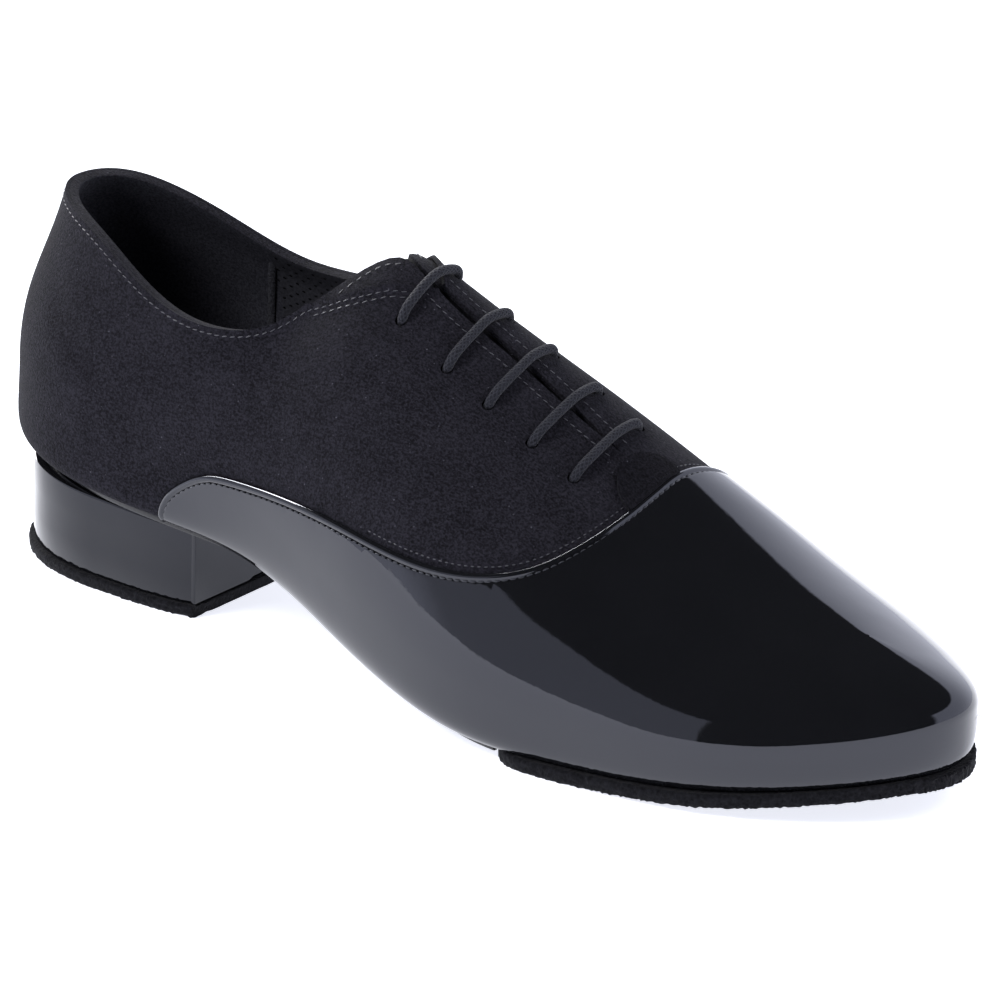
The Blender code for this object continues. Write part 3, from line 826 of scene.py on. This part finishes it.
def lining():
    """Smooth lining leather with rows of pinholes in front, their insides painted near-black as painted
    shade, and a suede heel grip behind the seam.
    """
    f = Finish("lining", roughness=0.55, specular_ior_level=0.4)
    across, up = f.split(f.on_surface())[:2]
    x = f.split(f.place())[0]
    pitch = 0.0042
    rise = pitch * 0.75
    shift = (up / rise).maths("FLOOR").maths("MODULO", 2.0) * 0.5
    along = ((across / pitch + shift).maths("FRACT") - 0.5) * pitch
    over = ((up / rise).maths("FRACT") - 0.5) * rise
    away = (along * along + over * over).maths("SQRT")
    front = x.between(TAPE_X + 0.002, TAPE_X + 0.003)
    hole = (1 - away.between(0.00042, 0.00062)) * front
    grain = f.cells(0.0009) * 0.6 + f.noise(0.0015, 3.0, 0.6) * 0.4
    nap = f.noise(0.0006, 4.0, 0.7)
    skin = f.mix(grain, (0.022, 0.022, 0.027), (0.055, 0.055, 0.066))
    grip = f.mix(nap.between(0.3, 0.7), (0.020, 0.020, 0.026), (0.060, 0.060, 0.074))
    colour = f.mix(front, grip, skin)
    # The pinholes are real holes; their near-black colour is painted shade inside each hole.
    colour = f.mix(hole, colour, (0.002, 0.002, 0.002))
    height = (grain * front + nap * (1 - front)) * 0.35 + (1 - hole) * 0.65
    return f.feed(Base_Color=colour, Roughness=1 - front * 0.5, Normal=f.bump(height, 0.0004, 0.8))


def sole_leather():
    """Smooth black leather of the waist, with fine scuffs along the shoe."""
    f = Finish("waist", roughness=0.35, specular_ior_level=0.5)
    grain = f.cells(0.0012) * 0.5 + f.noise(0.002, 3.0, 0.6) * 0.5
    scuff = f.noise(0.0012, 3.0, 0.6, stretch=(0.15, 1.0, 1.0)).between(0.55, 0.8)
    colour = f.mix(grain * 0.6 + scuff * 0.4, (0.008, 0.008, 0.010), (0.026, 0.026, 0.030))
    return f.feed(Base_Color=colour, Roughness=scuff * 0.2 + 0.32, Normal=f.bump(grain, 0.00015, 0.6))


def cord():
    """Waxed cotton: yarns crossing round the cord, painted lighter where they stand out as painted highlight
    and darker between them as painted shade.
    """
    f = Finish("lace", roughness=0.8, sheen_weight=0.12, sheen_roughness=0.4, specular_ior_level=0.12)
    along, round_it = f.split(f.on_surface())[:2]
    turns = 2 / LACE_DIAMETER * 8
    pitch = 2 * math.pi / LACE_BRAID
    left = (along * pitch + round_it * turns).maths("SINE")
    right = (along * pitch - round_it * turns).maths("SINE")
    yarn = left.maths("MAXIMUM", right).between(-0.2, 1.0)
    fibre = f.noise(0.0003, 3.0, 0.7)
    # The yarns' crests are painted lighter and their grooves darker: painted highlight and shade of the
    # weave, mixed with the fibres' random tone.
    shade = yarn * 0.35 + fibre.between(0.3, 0.7) * 0.65
    colour = f.mix(shade, (0.007, 0.0073, 0.0095), (0.046, 0.047, 0.060))
    return f.feed(Base_Color=colour, Normal=f.bump(yarn * 0.5 + fibre * 0.5, 0.00022, 0.9))


def thread(name, colour, roughness=0.5):
    """Twisted sewing thread."""
    f = Finish(name, roughness=roughness, sheen_weight=0.2)
    twist = f.noise(0.00025, 2.0, 0.6)
    dull = tuple(c * 0.45 for c in colour)
    return f.feed(Base_Color=f.mix(twist, dull, colour), Normal=f.bump(twist, 0.0001, 0.7))


TAPE_X = 0.172 * LENGTH - ORIGIN + 0.002
NUBUCK = nubuck()
TAB_SUEDE = nubuck("tab_suede", (0.0025, 0.0024, 0.0034), (0.0150, 0.0145, 0.0195))
# The tongue's nubuck is a darker copy of the upper's: painted shade for the tongue lying in the slit under
# the facings.
SHADED_TONGUE_NUBUCK = nubuck("tongue_nubuck_shaded", (0.0020, 0.0020, 0.0026), (0.0130, 0.0127, 0.0160))
SUEDE = suede()
# The heel's patent is a dimmer copy of the vamp's patent, with weaker coat and reflection: painted shade for
# the shaded floor under the arch that the heel mirrors.
SHADED_HEEL_PATENT = patent("heel_patent_shaded", 0.55)
PATENT = patent()
LINING = lining()
TAPE = nubuck("tape", (0.020, 0.020, 0.025), (0.060, 0.060, 0.072))
WAIST = sole_leather()
CORD = cord()
GREY_THREAD = thread("grey_thread", (0.085, 0.085, 0.105))
BLACK_THREAD = thread("black_thread", (0.045, 0.047, 0.060), 0.20)


# Skins


def layer_edge(p):
    """Height of the top layer's edge at each way round."""
    q = np.abs(p)
    knots = [angle_of(row[0]) for row in LAYER_EDGE]
    inside = (q > knots[0]) & (q < knots[-1])
    heights = natural(knots, [row[1] for row in LAYER_EDGE], np.clip(q, knots[0], knots[-1]))
    return np.where(inside, heights, 1.06)


def eyelet_way(share, sign, rise=0.0):
    """The way round at which this height over the eyelets' row reaches this share of the length."""
    ways = np.linspace(0.3, 0.8, 400)
    reached = last(sign * ways, np.full_like(ways, EYELET_H[sign > 0] + rise))[:, 0]
    return np.array([sign * np.interp(share * LENGTH - ORIGIN, reached, ways)])


def eyelets():
    """The way round and the height of each of the ten eyelets."""
    return [(eyelet_way(share, sign), EYELET_H[sign > 0]) for share in LACE_AT for sign in (-1, 1)]


def eyelet_cutter():
    """Ten punches, one through each eyelet, square to the leather."""
    punches = []
    for p, h in eyelets():
        normal = Vector(outward_normal(p, np.array([h]))[0])
        bpy.ops.mesh.primitive_cylinder_add(
            vertices=28, radius=EYELET_RADIUS, depth=0.008, location=shell_point(p, h, 0.0)[0],
            rotation=normal.to_track_quat("Z", "Y").to_euler(),
        )
        punches.append(bpy.context.object)
    cutter = joined("punches", *punches)
    bpy.ops.object.transform_apply(location=True, rotation=True, scale=True)
    return cutter


def pressed_round_eyelets(points):
    """The leather draws in a little round each hole."""
    depth = np.zeros(len(points))
    for p, h in eyelets():
        away = np.linalg.norm(points - shell_point(p, h, 0.0)[0], axis=1)
        depth += 0.00035 * np.exp(-((away / 0.0026) ** 2))
    return depth


def creases(points):
    """Soft troughs and the low ridges beside them, where the quarters give a little."""
    height = np.zeros(len(points))
    for start, end, width, depth in CREASES:
        a, b = (shell_point(np.array([p]), h, 0.0)[0] for p, h in (start, end))
        reach = np.linalg.norm(b - a) / 2
        along = (points - (a + b) / 2) @ (b - a) / (2 * reach)
        beside = np.sqrt(np.maximum(np.sum((points - (a + b) / 2) ** 2, axis=1) - along**2, 0)) / width
        fade = np.exp(-((along / reach) ** 4))
        height += depth * fade * (0.6 * np.exp(-((beside - 2) ** 2)) - np.exp(-(beside**2)))
    return height


def soft_relief(points, h):
    """What both layers of the quarters share: slow waves, the eyelets' dimples and the creases."""
    relief = ripple(points, 0.03, 0.00018, 1.7) - pressed_round_eyelets(points) + creases(points)
    return relief * np.clip((1 - h) * 12, 0, 1)


def quarters(cutter):
    """The nubuck's top layer, over the whole last, cut away above the layer's edge and punched."""
    piece = pattern("quarters", np.linspace(1, -1, 420), np.linspace(-1, 1, 84))
    cut_pattern(piece, lambda p, h: (layer_edge(p) - h) * METRES_UP)
    p, h = plane_points(piece)[:, :2].T
    wide = outward_normal(p, np.zeros_like(p))
    rear = np.clip((angle_of(0.30) - np.abs(p)) / 0.08, 0, 1)
    spread = 0.0016 * rear * soft_step(np.clip(-h / 0.7, 0, 1))
    below_edge = np.clip((layer_edge(p) - h) * METRES_UP, 0, 0.02)
    near_facing = (np.abs(p) > angle_of(0.36)) & (np.abs(p) < angle_of(0.49))
    puff = 0.0006 * np.exp(-((below_edge / 0.0013) ** 2)) * near_facing

    def spread_point(p, h, out):
        return shell_point(p, h, out) + spread[:, None] * wide * (1, 1, 0)

    lay(piece, spread_point, soft_relief(last(p, h), h) + puff)
    merge(piece)
    modify(piece, "SOLIDIFY", thickness=TOP_LAYER, offset=-1, use_quality_normals=True)
    round_edges(piece, 0.00055)
    modify(piece, "BOOLEAN", object=cutter, operation="DIFFERENCE", solver="EXACT")
    return finish(piece, NUBUCK, "nubuck", "upper")


def inner_layer(cutter):
    """Lining inside and nubuck outside: it shows inside the shoe and as the low hump over the facings."""
    piece = pattern("lining", np.linspace(1, -1, 300), np.linspace(-1, 1, 60))
    p, h = plane_points(piece)[:, :2].T
    from_heel = np.clip((angle_of(0.43) - np.abs(p)) / 0.06, 0, 1)
    from_edge = np.clip(1 - (1 - h) * METRES_UP / 0.012, 0, 1)
    lay(piece, shell_point, soft_relief(last(p, h), h) - TOP_LAYER - LAYER_GAP)
    padding = piece.vertex_groups.new(name="padding")
    for number, weight in enumerate(from_heel * from_edge**1.5):
        padding.add([number], float(weight), "REPLACE")
    merge(piece)
    piece.data.materials.append(NUBUCK)
    piece.data.materials.append(LINING)
    thin = (WALL - TOP_LAYER - LAYER_GAP) / COLLAR_PAD
    modify(
        piece, "SOLIDIFY", thickness=COLLAR_PAD, offset=-1, use_quality_normals=True, material_offset=1,
        material_offset_rim=0, vertex_group="padding", thickness_vertex_group=thin,
    )
    round_edges(piece, 0.0005)
    modify(piece, "BOOLEAN", object=cutter, operation="DIFFERENCE", solver="EXACT")
    return finish(piece, NUBUCK, "lining", "upper")


def vamp_distance(h):
    """The patent leather's outer face. It thins where it is turned under the foot."""
    return GAP + (VAMP_OUT - GAP) * (0.25 + 0.75 * soft_step(np.clip((h + 1) / 0.3, 0, 1)))


def vamp():
    """Patent leather over the forepart with two long wings, up to the stitched edge."""
    reach = angle_of(0.2)
    ways = np.linspace(2 - reach, reach, 470)
    piece = pattern("vamp", ways, np.linspace(-0.97, 1, 72))
    cut_pattern(piece, lambda p, h: ahead_of_seam(last(p, h)) - VAMP_EDGE)
    p, h = plane_points(piece)[:, :2].T
    relief = ripple(last(p, h), 0.022, 0.00012, 5.1)

    def wrapped(p, h, distance):
        return shell_point((p + 1) % 2 - 1, h, distance)

    lay(piece, wrapped, vamp_distance(h) + relief)
    merge(piece)
    modify(piece, "SOLIDIFY", thickness=0.0008, offset=-1, use_even_offset=True, use_quality_normals=True)
    round_edges(piece, 0.0003)
    return piece


def seam_way():
    """The vamp's edge as one line of (p, h), from the outer wing over the ridge to the inner wing."""
    halves = []
    for sign in (-1, 1):
        ways = sign * np.linspace(angle_of(0.2), angle_of(0.76), 300)
        sheet = pattern("seam", ways, np.linspace(-0.96, 1, 150))
        line = cut_pattern(sheet, lambda p, h: ahead_of_seam(last(p, h)))
        bpy.data.objects.remove(sheet, do_unlink=True)
        halves.append(even(line if line[0, 1] < line[-1, 1] else line[::-1], 0.0007))
    outer, inner = halves
    return outer, inner[::-1]


def seam_edge(line):
    """The vamp's folded edge: a low welt between the cut and the groove of its stitches."""
    profile = [
        (-0.0029, 0.0004), (-0.0029, 0.00112), (-0.0026, 0.00094), (-0.0023, 0.00082), (-0.0020, 0.00094),
        (-0.0017, 0.00122), (-0.0013, 0.00142), (-0.0009, 0.00140), (-0.0005, 0.00118), (-0.0002, 0.00082),
        (-0.00003, 0.00045), (-0.0001, 0.00012), (-0.0004, 0.00006),
    ]
    return swept("seam_edge", line, profile)


def throat_tab():
    """Half-round suede tab at the foot of the lacing."""
    q = np.linspace(angle_of(0.60), angle_of(0.78), 70)
    piece = pattern("throat_tab", q, np.linspace(0.5, -0.5, 70))
    middle = crest(np.array([angle_of(0.62)]))[0, 1]
    x = SEAM[-1][0] * LENGTH - ORIGIN

    def keep(q, k):
        points = saddle_point(q, k, 0.0)
        disc = TAB_RADIUS - np.hypot(points[:, 0] - x, points[:, 1] - middle)
        return np.minimum(disc, 0.0006 - ahead_of_seam(points))

    cut_pattern(piece, keep)
    lay(piece, saddle_point, TAB_WALL + 0.0002)
    modify(piece, "SOLIDIFY", thickness=TAB_WALL, offset=1, use_even_offset=True)
    turn_outwards(piece)
    round_edges(piece, 0.0003)
    return finish(piece, TAB_SUEDE, "suede", "throat_tab")


def tongue():
    """The strip under the facings, in nubuck darkened as painted shade."""
    q = np.linspace(angle_of(TONGUE_SPAN[0]), angle_of(TONGUE_SPAN[1]), 110)
    piece = pattern("tongue", q, np.linspace(0.40, -0.40, 50))
    lay(piece, saddle_point, -(WALL + GAP))
    modify(piece, "SOLIDIFY", thickness=TONGUE_WALL, offset=1, use_even_offset=True)
    turn_outwards(piece)
    round_edges(piece, 0.0006)
    return finish(piece, SHADED_TONGUE_NUBUCK, "nubuck", "tongue")


def lace_bar(number):
    """One run of the lace, up out of an eyelet, over the facings and down into the opposite one."""
    share = LACE_AT[number]
    radius = LACE_DIAMETER / 2
    over = GAP + radius
    rises = [(0.0, -0.0034), (0.0, -0.0016), (0.016, 0.0003), (0.04, over - 0.0002), (0.09, over)]
    rises += [(0.14, over), (0.175, over)]
    ends = []
    for sign in (-1, 1):
        level = EYELET_H[sign > 0]
        ends.append([shell_point(eyelet_way(share, sign, lift), level + lift, out)[0] for lift, out in rises])
    route = np.array(ends[0] + ends[1][::-1])
    knots = lengths(route)
    at = np.linspace(0, knots[-1], 230)
    smooth = np.stack([natural(knots, route[:, axis], at) for axis in range(3)], -1)

    def yarns(length, turn):
        pitch = 2 * math.pi / LACE_BRAID
        return 0.00005 * np.maximum(np.sin(length * pitch + 8 * turn), np.sin(length * pitch - 8 * turn))

    piece = tube(f"lace_{number + 1}", smooth, radius - 0.00005, 36, yarns)
    finish(piece, CORD, "lace", f"lace_bar_{number + 1}", angle=60)


# Soles and heel


def outline(curve, margin):
    """A rail seen from above, moved outwards: its ends, and y of its two sides as functions of x."""
    p = np.linspace(-1, 1, 1441)
    step = 1e-3
    points = curve(p)[:, :2]
    ahead = curve(np.minimum(p + step, 1))[:, :2] - curve(np.maximum(p - step, -1))[:, :2]
    ahead[0, 0] = ahead[-1, 0] = 0
    ahead[0, 1], ahead[-1, 1] = -1, -1
    normal = np.stack([-ahead[:, 1], ahead[:, 0]], -1)
    moved = points + margin * normal / np.linalg.norm(normal, axis=1)[:, None]

    def across(half):
        return lambda x: np.interp(x, np.maximum.accumulate(half[:, 0]), half[:, 1])

    return moved[:, 0].min(), moved[:, 0].max(), across(moved[p <= 0][::-1]), across(moved[p >= 0])


def underside(x):
    """Height of the turned-under edge at this x."""
    line = under(np.linspace(-1, 0, 600))[::-1]
    return np.interp(x, line[:, 0], line[:, 2])


def sole_top(x):
    """Height of the soles' upper face at this x."""
    return underside(x) - GAP


def stations(start, end, count):
    """Places along a plate, closer together towards its ends."""
    return start + (end - start) * share_of(np.linspace(0, 1, count))


def plate(name, xs, outer, inner, top, bottom, rounding, fuzz=0.0, cup=0.0):
    """A plate with rounded edges between two heights. fuzz roughens its edge as cut suede is."""
    shares = np.sin(np.linspace(-math.pi / 2, math.pi / 2, 27))
    edge = np.array([(x, y(x)) for y in (outer, inner) for x in xs])
    closing = [np.linspace((xs[i], outer(xs[i])), (xs[i], inner(xs[i])), 12) for i in (0, -1)]
    edge = np.concatenate([edge, *closing])
    x = np.repeat(np.asarray(xs)[:, None], len(shares), 1)
    middle, half = (outer(x) + inner(x)) / 2, (inner(x) - outer(x)) / 2
    y = middle + half * shares
    gaps = np.hypot(x[..., None] - edge[:, 0], y[..., None] - edge[:, 1]).min(-1)
    inwards = np.clip(gaps / rounding, 0, 1)
    drop = rounding * (1 - np.sqrt(1 - (1 - inwards) ** 2))
    low = np.stack([x, y, bottom(x) + drop], -1)
    high = np.stack([x, y, top(x) - drop + cup * np.clip(1 - gaps / 0.012, 0, 1) ** 2], -1)
    wall = np.stack([low[:, -1] * (1 - t) + high[:, -1] * t for t in (0.33, 0.67)], 1)
    wall_back = np.stack([high[:, 0] * (1 - t) + low[:, 0] * t for t in (0.33, 0.67)], 1)
    rings = np.concatenate([low, wall, high[:, ::-1], wall_back, low[:, :1]], 1)
    if fuzz:
        flat = rings.reshape(-1, 3)
        shift = np.stack([ripple(flat, 0.0007, fuzz, seed) for seed in (3.1, 7.7, 9.4)], -1)
        gap = np.hypot(flat[:, None, 0] - edge[None, :, 0], flat[:, None, 1] - edge[None, :, 1]).min(1)
        flat = flat + shift * np.exp(-((gap / 0.0012) ** 2))[:, None]
        flat[:, 2] = np.maximum(flat[:, 2], 0)
        rings = flat.reshape(rings.shape)
        rings[:, -1] = rings[:, 0]
    return close_ends(laid_grid(name, rings), 2e-6)


def forepart_sole():
    """Suede sole with a rounded rear edge, a flat tread and the toe spring."""
    _, front, outer, inner = outline(side, SOLE_MARGIN - FUZZ_ROOM)
    joint = SOLE_JOINT * LENGTH + GAP / 2 - ORIGIN
    corner = SOLE_CORNER * LENGTH

    def rounding(x):
        u = np.clip(1 - (x - joint) / corner, 0, 1)
        return 1 - SOLE_CORNER_NARROWING * (1 - np.sqrt(1 - u * u))

    def narrowed(edge):
        return lambda x: (outer(x) + inner(x)) / 2 + (edge(x) - (outer(x) + inner(x)) / 2) * rounding(x)

    near = joint + corner * (1 - np.cos(np.linspace(0, math.pi / 2, 24)[:-1]))
    far = joint + corner + (front - joint - corner) * np.sin(np.linspace(0, math.pi / 2, 190))
    piece = plate(
        "forepart_sole", np.concatenate([near, far]), narrowed(outer), narrowed(inner),
        sole_top, lambda x: np.maximum(sole_top(x) - SOLE_THICKNESS, 0), 0.0006, 0.00045,
    )
    return finish(piece, SUEDE, "suede", "forepart_sole", angle=70)


def waist_sole():
    """Thin leather sole between heel and forepart."""
    back, _, outer, inner = outline(under, WAIST_MARGIN)
    joint = SOLE_JOINT * LENGTH - GAP / 2 - ORIGIN
    xs = [x for x in stations(back, LENGTH - ORIGIN, 240) if x < joint - 0.0005] + [joint]

    def low(x):
        return sole_top(x) - WAIST_THICKNESS

    piece = plate("waist_sole", np.array(xs), outer, inner, sole_top, low, 0.0006)
    return finish(piece, WAIST, "waist", "waist_sole")


def insole():
    """Padded sock, cupped up a little at its edge."""

    def sock_line(p):
        return under(p) * 0.82 + side(p) * 0.18

    back, front, outer, inner = outline(sock_line, -0.0006)

    def low(x):
        return underside(x) + (WALL + GAP)

    xs = stations(back, front, 150)
    piece = plate("insole", xs, outer, inner, lambda x: low(x) + INSOLE_THICKNESS, low, 0.0007, cup=0.0006)
    return finish(piece, LINING, "lining", "insole")


def heel_outline(margin):
    """The D of the heel seen from above."""
    back = HEEL_INSET - margin - ORIGIN
    breast = HEEL_INSET + HEEL_LENGTH + margin - ORIGIN
    widest = back + HEEL_WIDEST * (breast - back)
    half = HEEL_WIDTH / 2 + margin

    def reach(x):
        u = np.clip((widest - x) / (widest - back), 0, 1)
        v = np.clip((x - widest) / (breast - widest), 0, 1)
        rounded = (1 - u**HEEL_FULLNESS) ** (1 / HEEL_FULLNESS)
        return half * rounded * (1 - BREAST_NARROWING * v**3)

    turn = widest - (widest - back) * np.cos(np.linspace(0, math.pi / 2, 70))
    straight = np.linspace(widest, breast, 40)[1:]
    return np.concatenate([turn, straight]), lambda x: -reach(x), reach


def heel():
    """Heel block covered in patent leather, dimmed as painted shade for the shaded floor that it mirrors."""
    xs, outer, inner = heel_outline(0.0)

    def seat(x):
        return sole_top(np.maximum(x, BACK_TUCK - ORIGIN)) - WAIST_THICKNESS - GAP

    block = plate("heel", xs, outer, inner, seat, lambda x: 0 * x + TIP_THICKNESS + GAP, 0.0006)
    return finish(joined("heel", block, breast_flap()), SHADED_HEEL_PATENT, "patent", "heel")


def breast_flap():
    """The end of the heel's covering, turned over the breast with one free edge."""
    y_low, y_free = -0.0278, -0.0042
    piece = pattern("breast_flap", np.linspace(y_low, y_free, 50), np.linspace(0.0036, 0.0242, 46))
    corner = 0.0035

    def keep(y, z):
        across, down = y - (y_free - corner), (0.0036 + corner) - z
        round_off = np.hypot(np.maximum(across, 0), np.maximum(down, 0))
        return np.where((across > 0) & (down > 0), corner - round_off, 1e-4)

    cut_pattern(piece, keep)
    breast = HEEL_INSET + HEEL_LENGTH - ORIGIN
    flat = plane_points(piece)
    places = np.stack([np.full(len(flat), breast + 0.0010), flat[:, 0], flat[:, 1]], -1)
    write_points(piece, places)
    modify(piece, "SOLIDIFY", thickness=0.0012, offset=-1)
    turn_outwards(piece)
    round_edges(piece, 0.00055, 4)
    return piece


def heel_tip():
    """The flat top piece under the heel, on which the shoe stands."""
    xs, outer, inner = heel_outline(TIP_MARGIN)
    top, low = (lambda x: 0 * x + TIP_THICKNESS), (lambda x: 0 * x)
    piece = plate("heel_tip", xs, outer, inner, top, low, 0.0005, 0.0004)
    return finish(piece, SUEDE, "suede", "heel_tip", angle=70)


# Stitches and edges


def collar_line(start, end, sign):
    """The shoe's top edge on one side, between two shares of the length."""
    ways = sign * np.linspace(angle_of(start), angle_of(end), 200)
    return np.stack([ways, np.ones_like(ways)], -1)


def top_edge(share):
    """The top edge round the heel, from this share of the length on both sides."""
    ways = np.linspace(-angle_of(share), angle_of(share), 500)
    return np.stack([ways, np.minimum(layer_edge(ways), 1.0)], -1)


def build():
    """Makes every piece, from the quarters to the stitches and the lining's tapes."""
    cutter = eyelet_cutter()
    quarters(cutter)
    inner_layer(cutter)
    bpy.data.objects.remove(cutter, do_unlink=True)
    line = seam_way()
    shell = joined("vamp", vamp(), seam_edge(np.concatenate(line)))
    finish(shell, PATENT, "patent", "vamp")
    throat_tab()
    tongue()
    for number in range(len(LACE_AT)):
        lace_bar(number)
    forepart_sole()
    waist_sole()
    insole()
    heel()
    heel_tip()

    rows = [walk(half, -VAMP_ROW) for half in line]
    stitches("vamp_stitches", BLACK_THREAD, rows, 0.00098, 0.0020, 0.0016, 0.0006)
    rows = [walk(half[np.abs(half[:, 0]) > angle_of(0.5)], FINE_ROW) for half in line]
    stitches("fine_stitches", GREY_THREAD, rows, 0.00006, 0.0017, 0.0009, 0.0003)
    edge = top_edge(0.47)
    rows = [walk(edge, COLLAR_ROW)]
    rows += [walk(edge[edge[:, 0] * sign > angle_of(0.375)], LAYER_ROW) for sign in (-1, 1)]
    rows += [walk(collar_line(0.478, 0.70, sign), FACING_ROW * sign) for sign in (-1, 1)]
    stitches("quarter_stitches", GREY_THREAD, rows, 0.00010, 0.0022, 0.0015, 0.00030, 0.15)
    rows = [walk(collar_line(0.385, 0.437, sign), HUMP_ROW * sign) for sign in (-1, 1)]
    stitches("hump_stitches", GREY_THREAD, rows, 0.00008 - TOP_LAYER, 0.0024, 0.0016, 0.00034, 0.15)
    for sign in (-1, 1):
        seam_tape(sign)


def seam_tape(sign):
    """The narrow tape over the lining's seam, in front of the heel grip."""
    heights = np.linspace(-0.5, 0.93, 60)
    line = np.stack([np.full(60, sign * angle_of(0.172)), heights], -1)
    depth = -(WALL - 0.0001)
    profile = [
        (-0.0011, depth), (-0.0011, depth - 0.0004), (-0.0008, depth - 0.00055), (0.0008, depth - 0.00055),
        (0.0011, depth - 0.0004), (0.0011, depth),
    ]
    piece = swept("seam_tape_" + ("inner" if sign > 0 else "outer"), line, profile)
    return finish(piece, TAPE, "lining")


def studio():
    """Pale floor, a white backdrop low behind the shoe, screens at its side and back, a dark ceiling."""
    bpy.ops.mesh.primitive_plane_add(size=8, location=(0, 0, 0))
    floor = bpy.context.object
    floor.name = "floor"
    f = Finish("floor", roughness=0.6, specular_ior_level=0.2)
    f.shader.inputs["Base Color"].default_value = (0.84, 0.84, 0.85, 1)
    f.shader.inputs["Emission Color"].default_value = (0.95, 0.97, 1.06, 1)
    f.shader.inputs["Emission Strength"].default_value = 0.82
    floor.data.materials.append(f.material)

    world = bpy.data.worlds.new("studio")
    bpy.context.scene.world = world
    world.use_nodes = True
    sky = Finish("sky", world.node_tree)
    x, y, z = sky.split(sky.add("ShaderNodeTexCoord", output="Generated"))
    far = y.between(0.02, 0.12) * (1 - z.between(0.66, 0.71))
    below = 1 - z.between(0.66, 0.69)
    near = (1 - (x + y * 0.10).between(-0.01, 0.02)) * (1 - y.between(-0.08, 0.0)) * below
    behind = (1 - x.between(-0.66, -0.42)) * (1 - y.between(-0.2, 0.0)) * (1 - z.between(0.20, 0.42))
    light = far * 1.2 + near * 0.58 + behind * 0.6 + 0.05
    white = sky.mix(1.0, (0.0, 0.0, 0.0), (0.92, 0.95, 1.10))
    scaled = sky.add("ShaderNodeVectorMath", {"operation": "SCALE"}, {0: white, "Scale": light})
    world.node_tree.links.new(scaled.socket, world.node_tree.nodes["Background"].inputs["Color"])

    bpy.context.scene.view_settings.view_transform = "Standard"
    for name, place, size, power, glossy in (
        ("key", (-0.9, -1.5, 1.9), 0.9, 44, False),
        ("fill", (1.3, 0.9, 2.1), 1.6, 22, False),
        ("rim", (-1.7, 0.6, 1.05), 1.2, 110, True),
    ):
        light_data = bpy.data.lights.new(name, "AREA")
        light_data.size = size
        light_data.energy = power
        lamp = bpy.data.objects.new(name, light_data)
        bpy.context.collection.objects.link(lamp)
        lamp.location = place
        lamp.rotation_euler = (Vector(VIEW_TARGET) - Vector(place)).to_track_quat("-Z", "Y").to_euler()
        lamp.visible_glossy = glossy
        lamp.visible_diffuse = not glossy


def camera():
    """The photograph's camera."""
    a, e, roll = (math.radians(v) for v in (VIEW_AZIMUTH, VIEW_ELEVATION, VIEW_ROLL))
    back = Vector((math.sin(a) * math.cos(e), -math.cos(a) * math.cos(e), math.sin(e)))
    right = Vector((math.cos(a), math.sin(a), 0))
    up = back.cross(right)
    turned = math.cos(roll) * right + math.sin(roll) * up, -math.sin(roll) * right + math.cos(roll) * up
    data = bpy.data.cameras.new("camera")
    data.lens = LENS
    data.clip_end = 30
    eye = bpy.data.objects.new("camera", data)
    bpy.context.collection.objects.link(eye)
    axes = Matrix((turned[0], turned[1], back)).transposed().to_4x4()
    eye.matrix_world = Matrix.Translation(Vector(VIEW_TARGET) + back * VIEW_DISTANCE) @ axes
    bpy.context.scene.camera = eye


build()
studio()
camera()
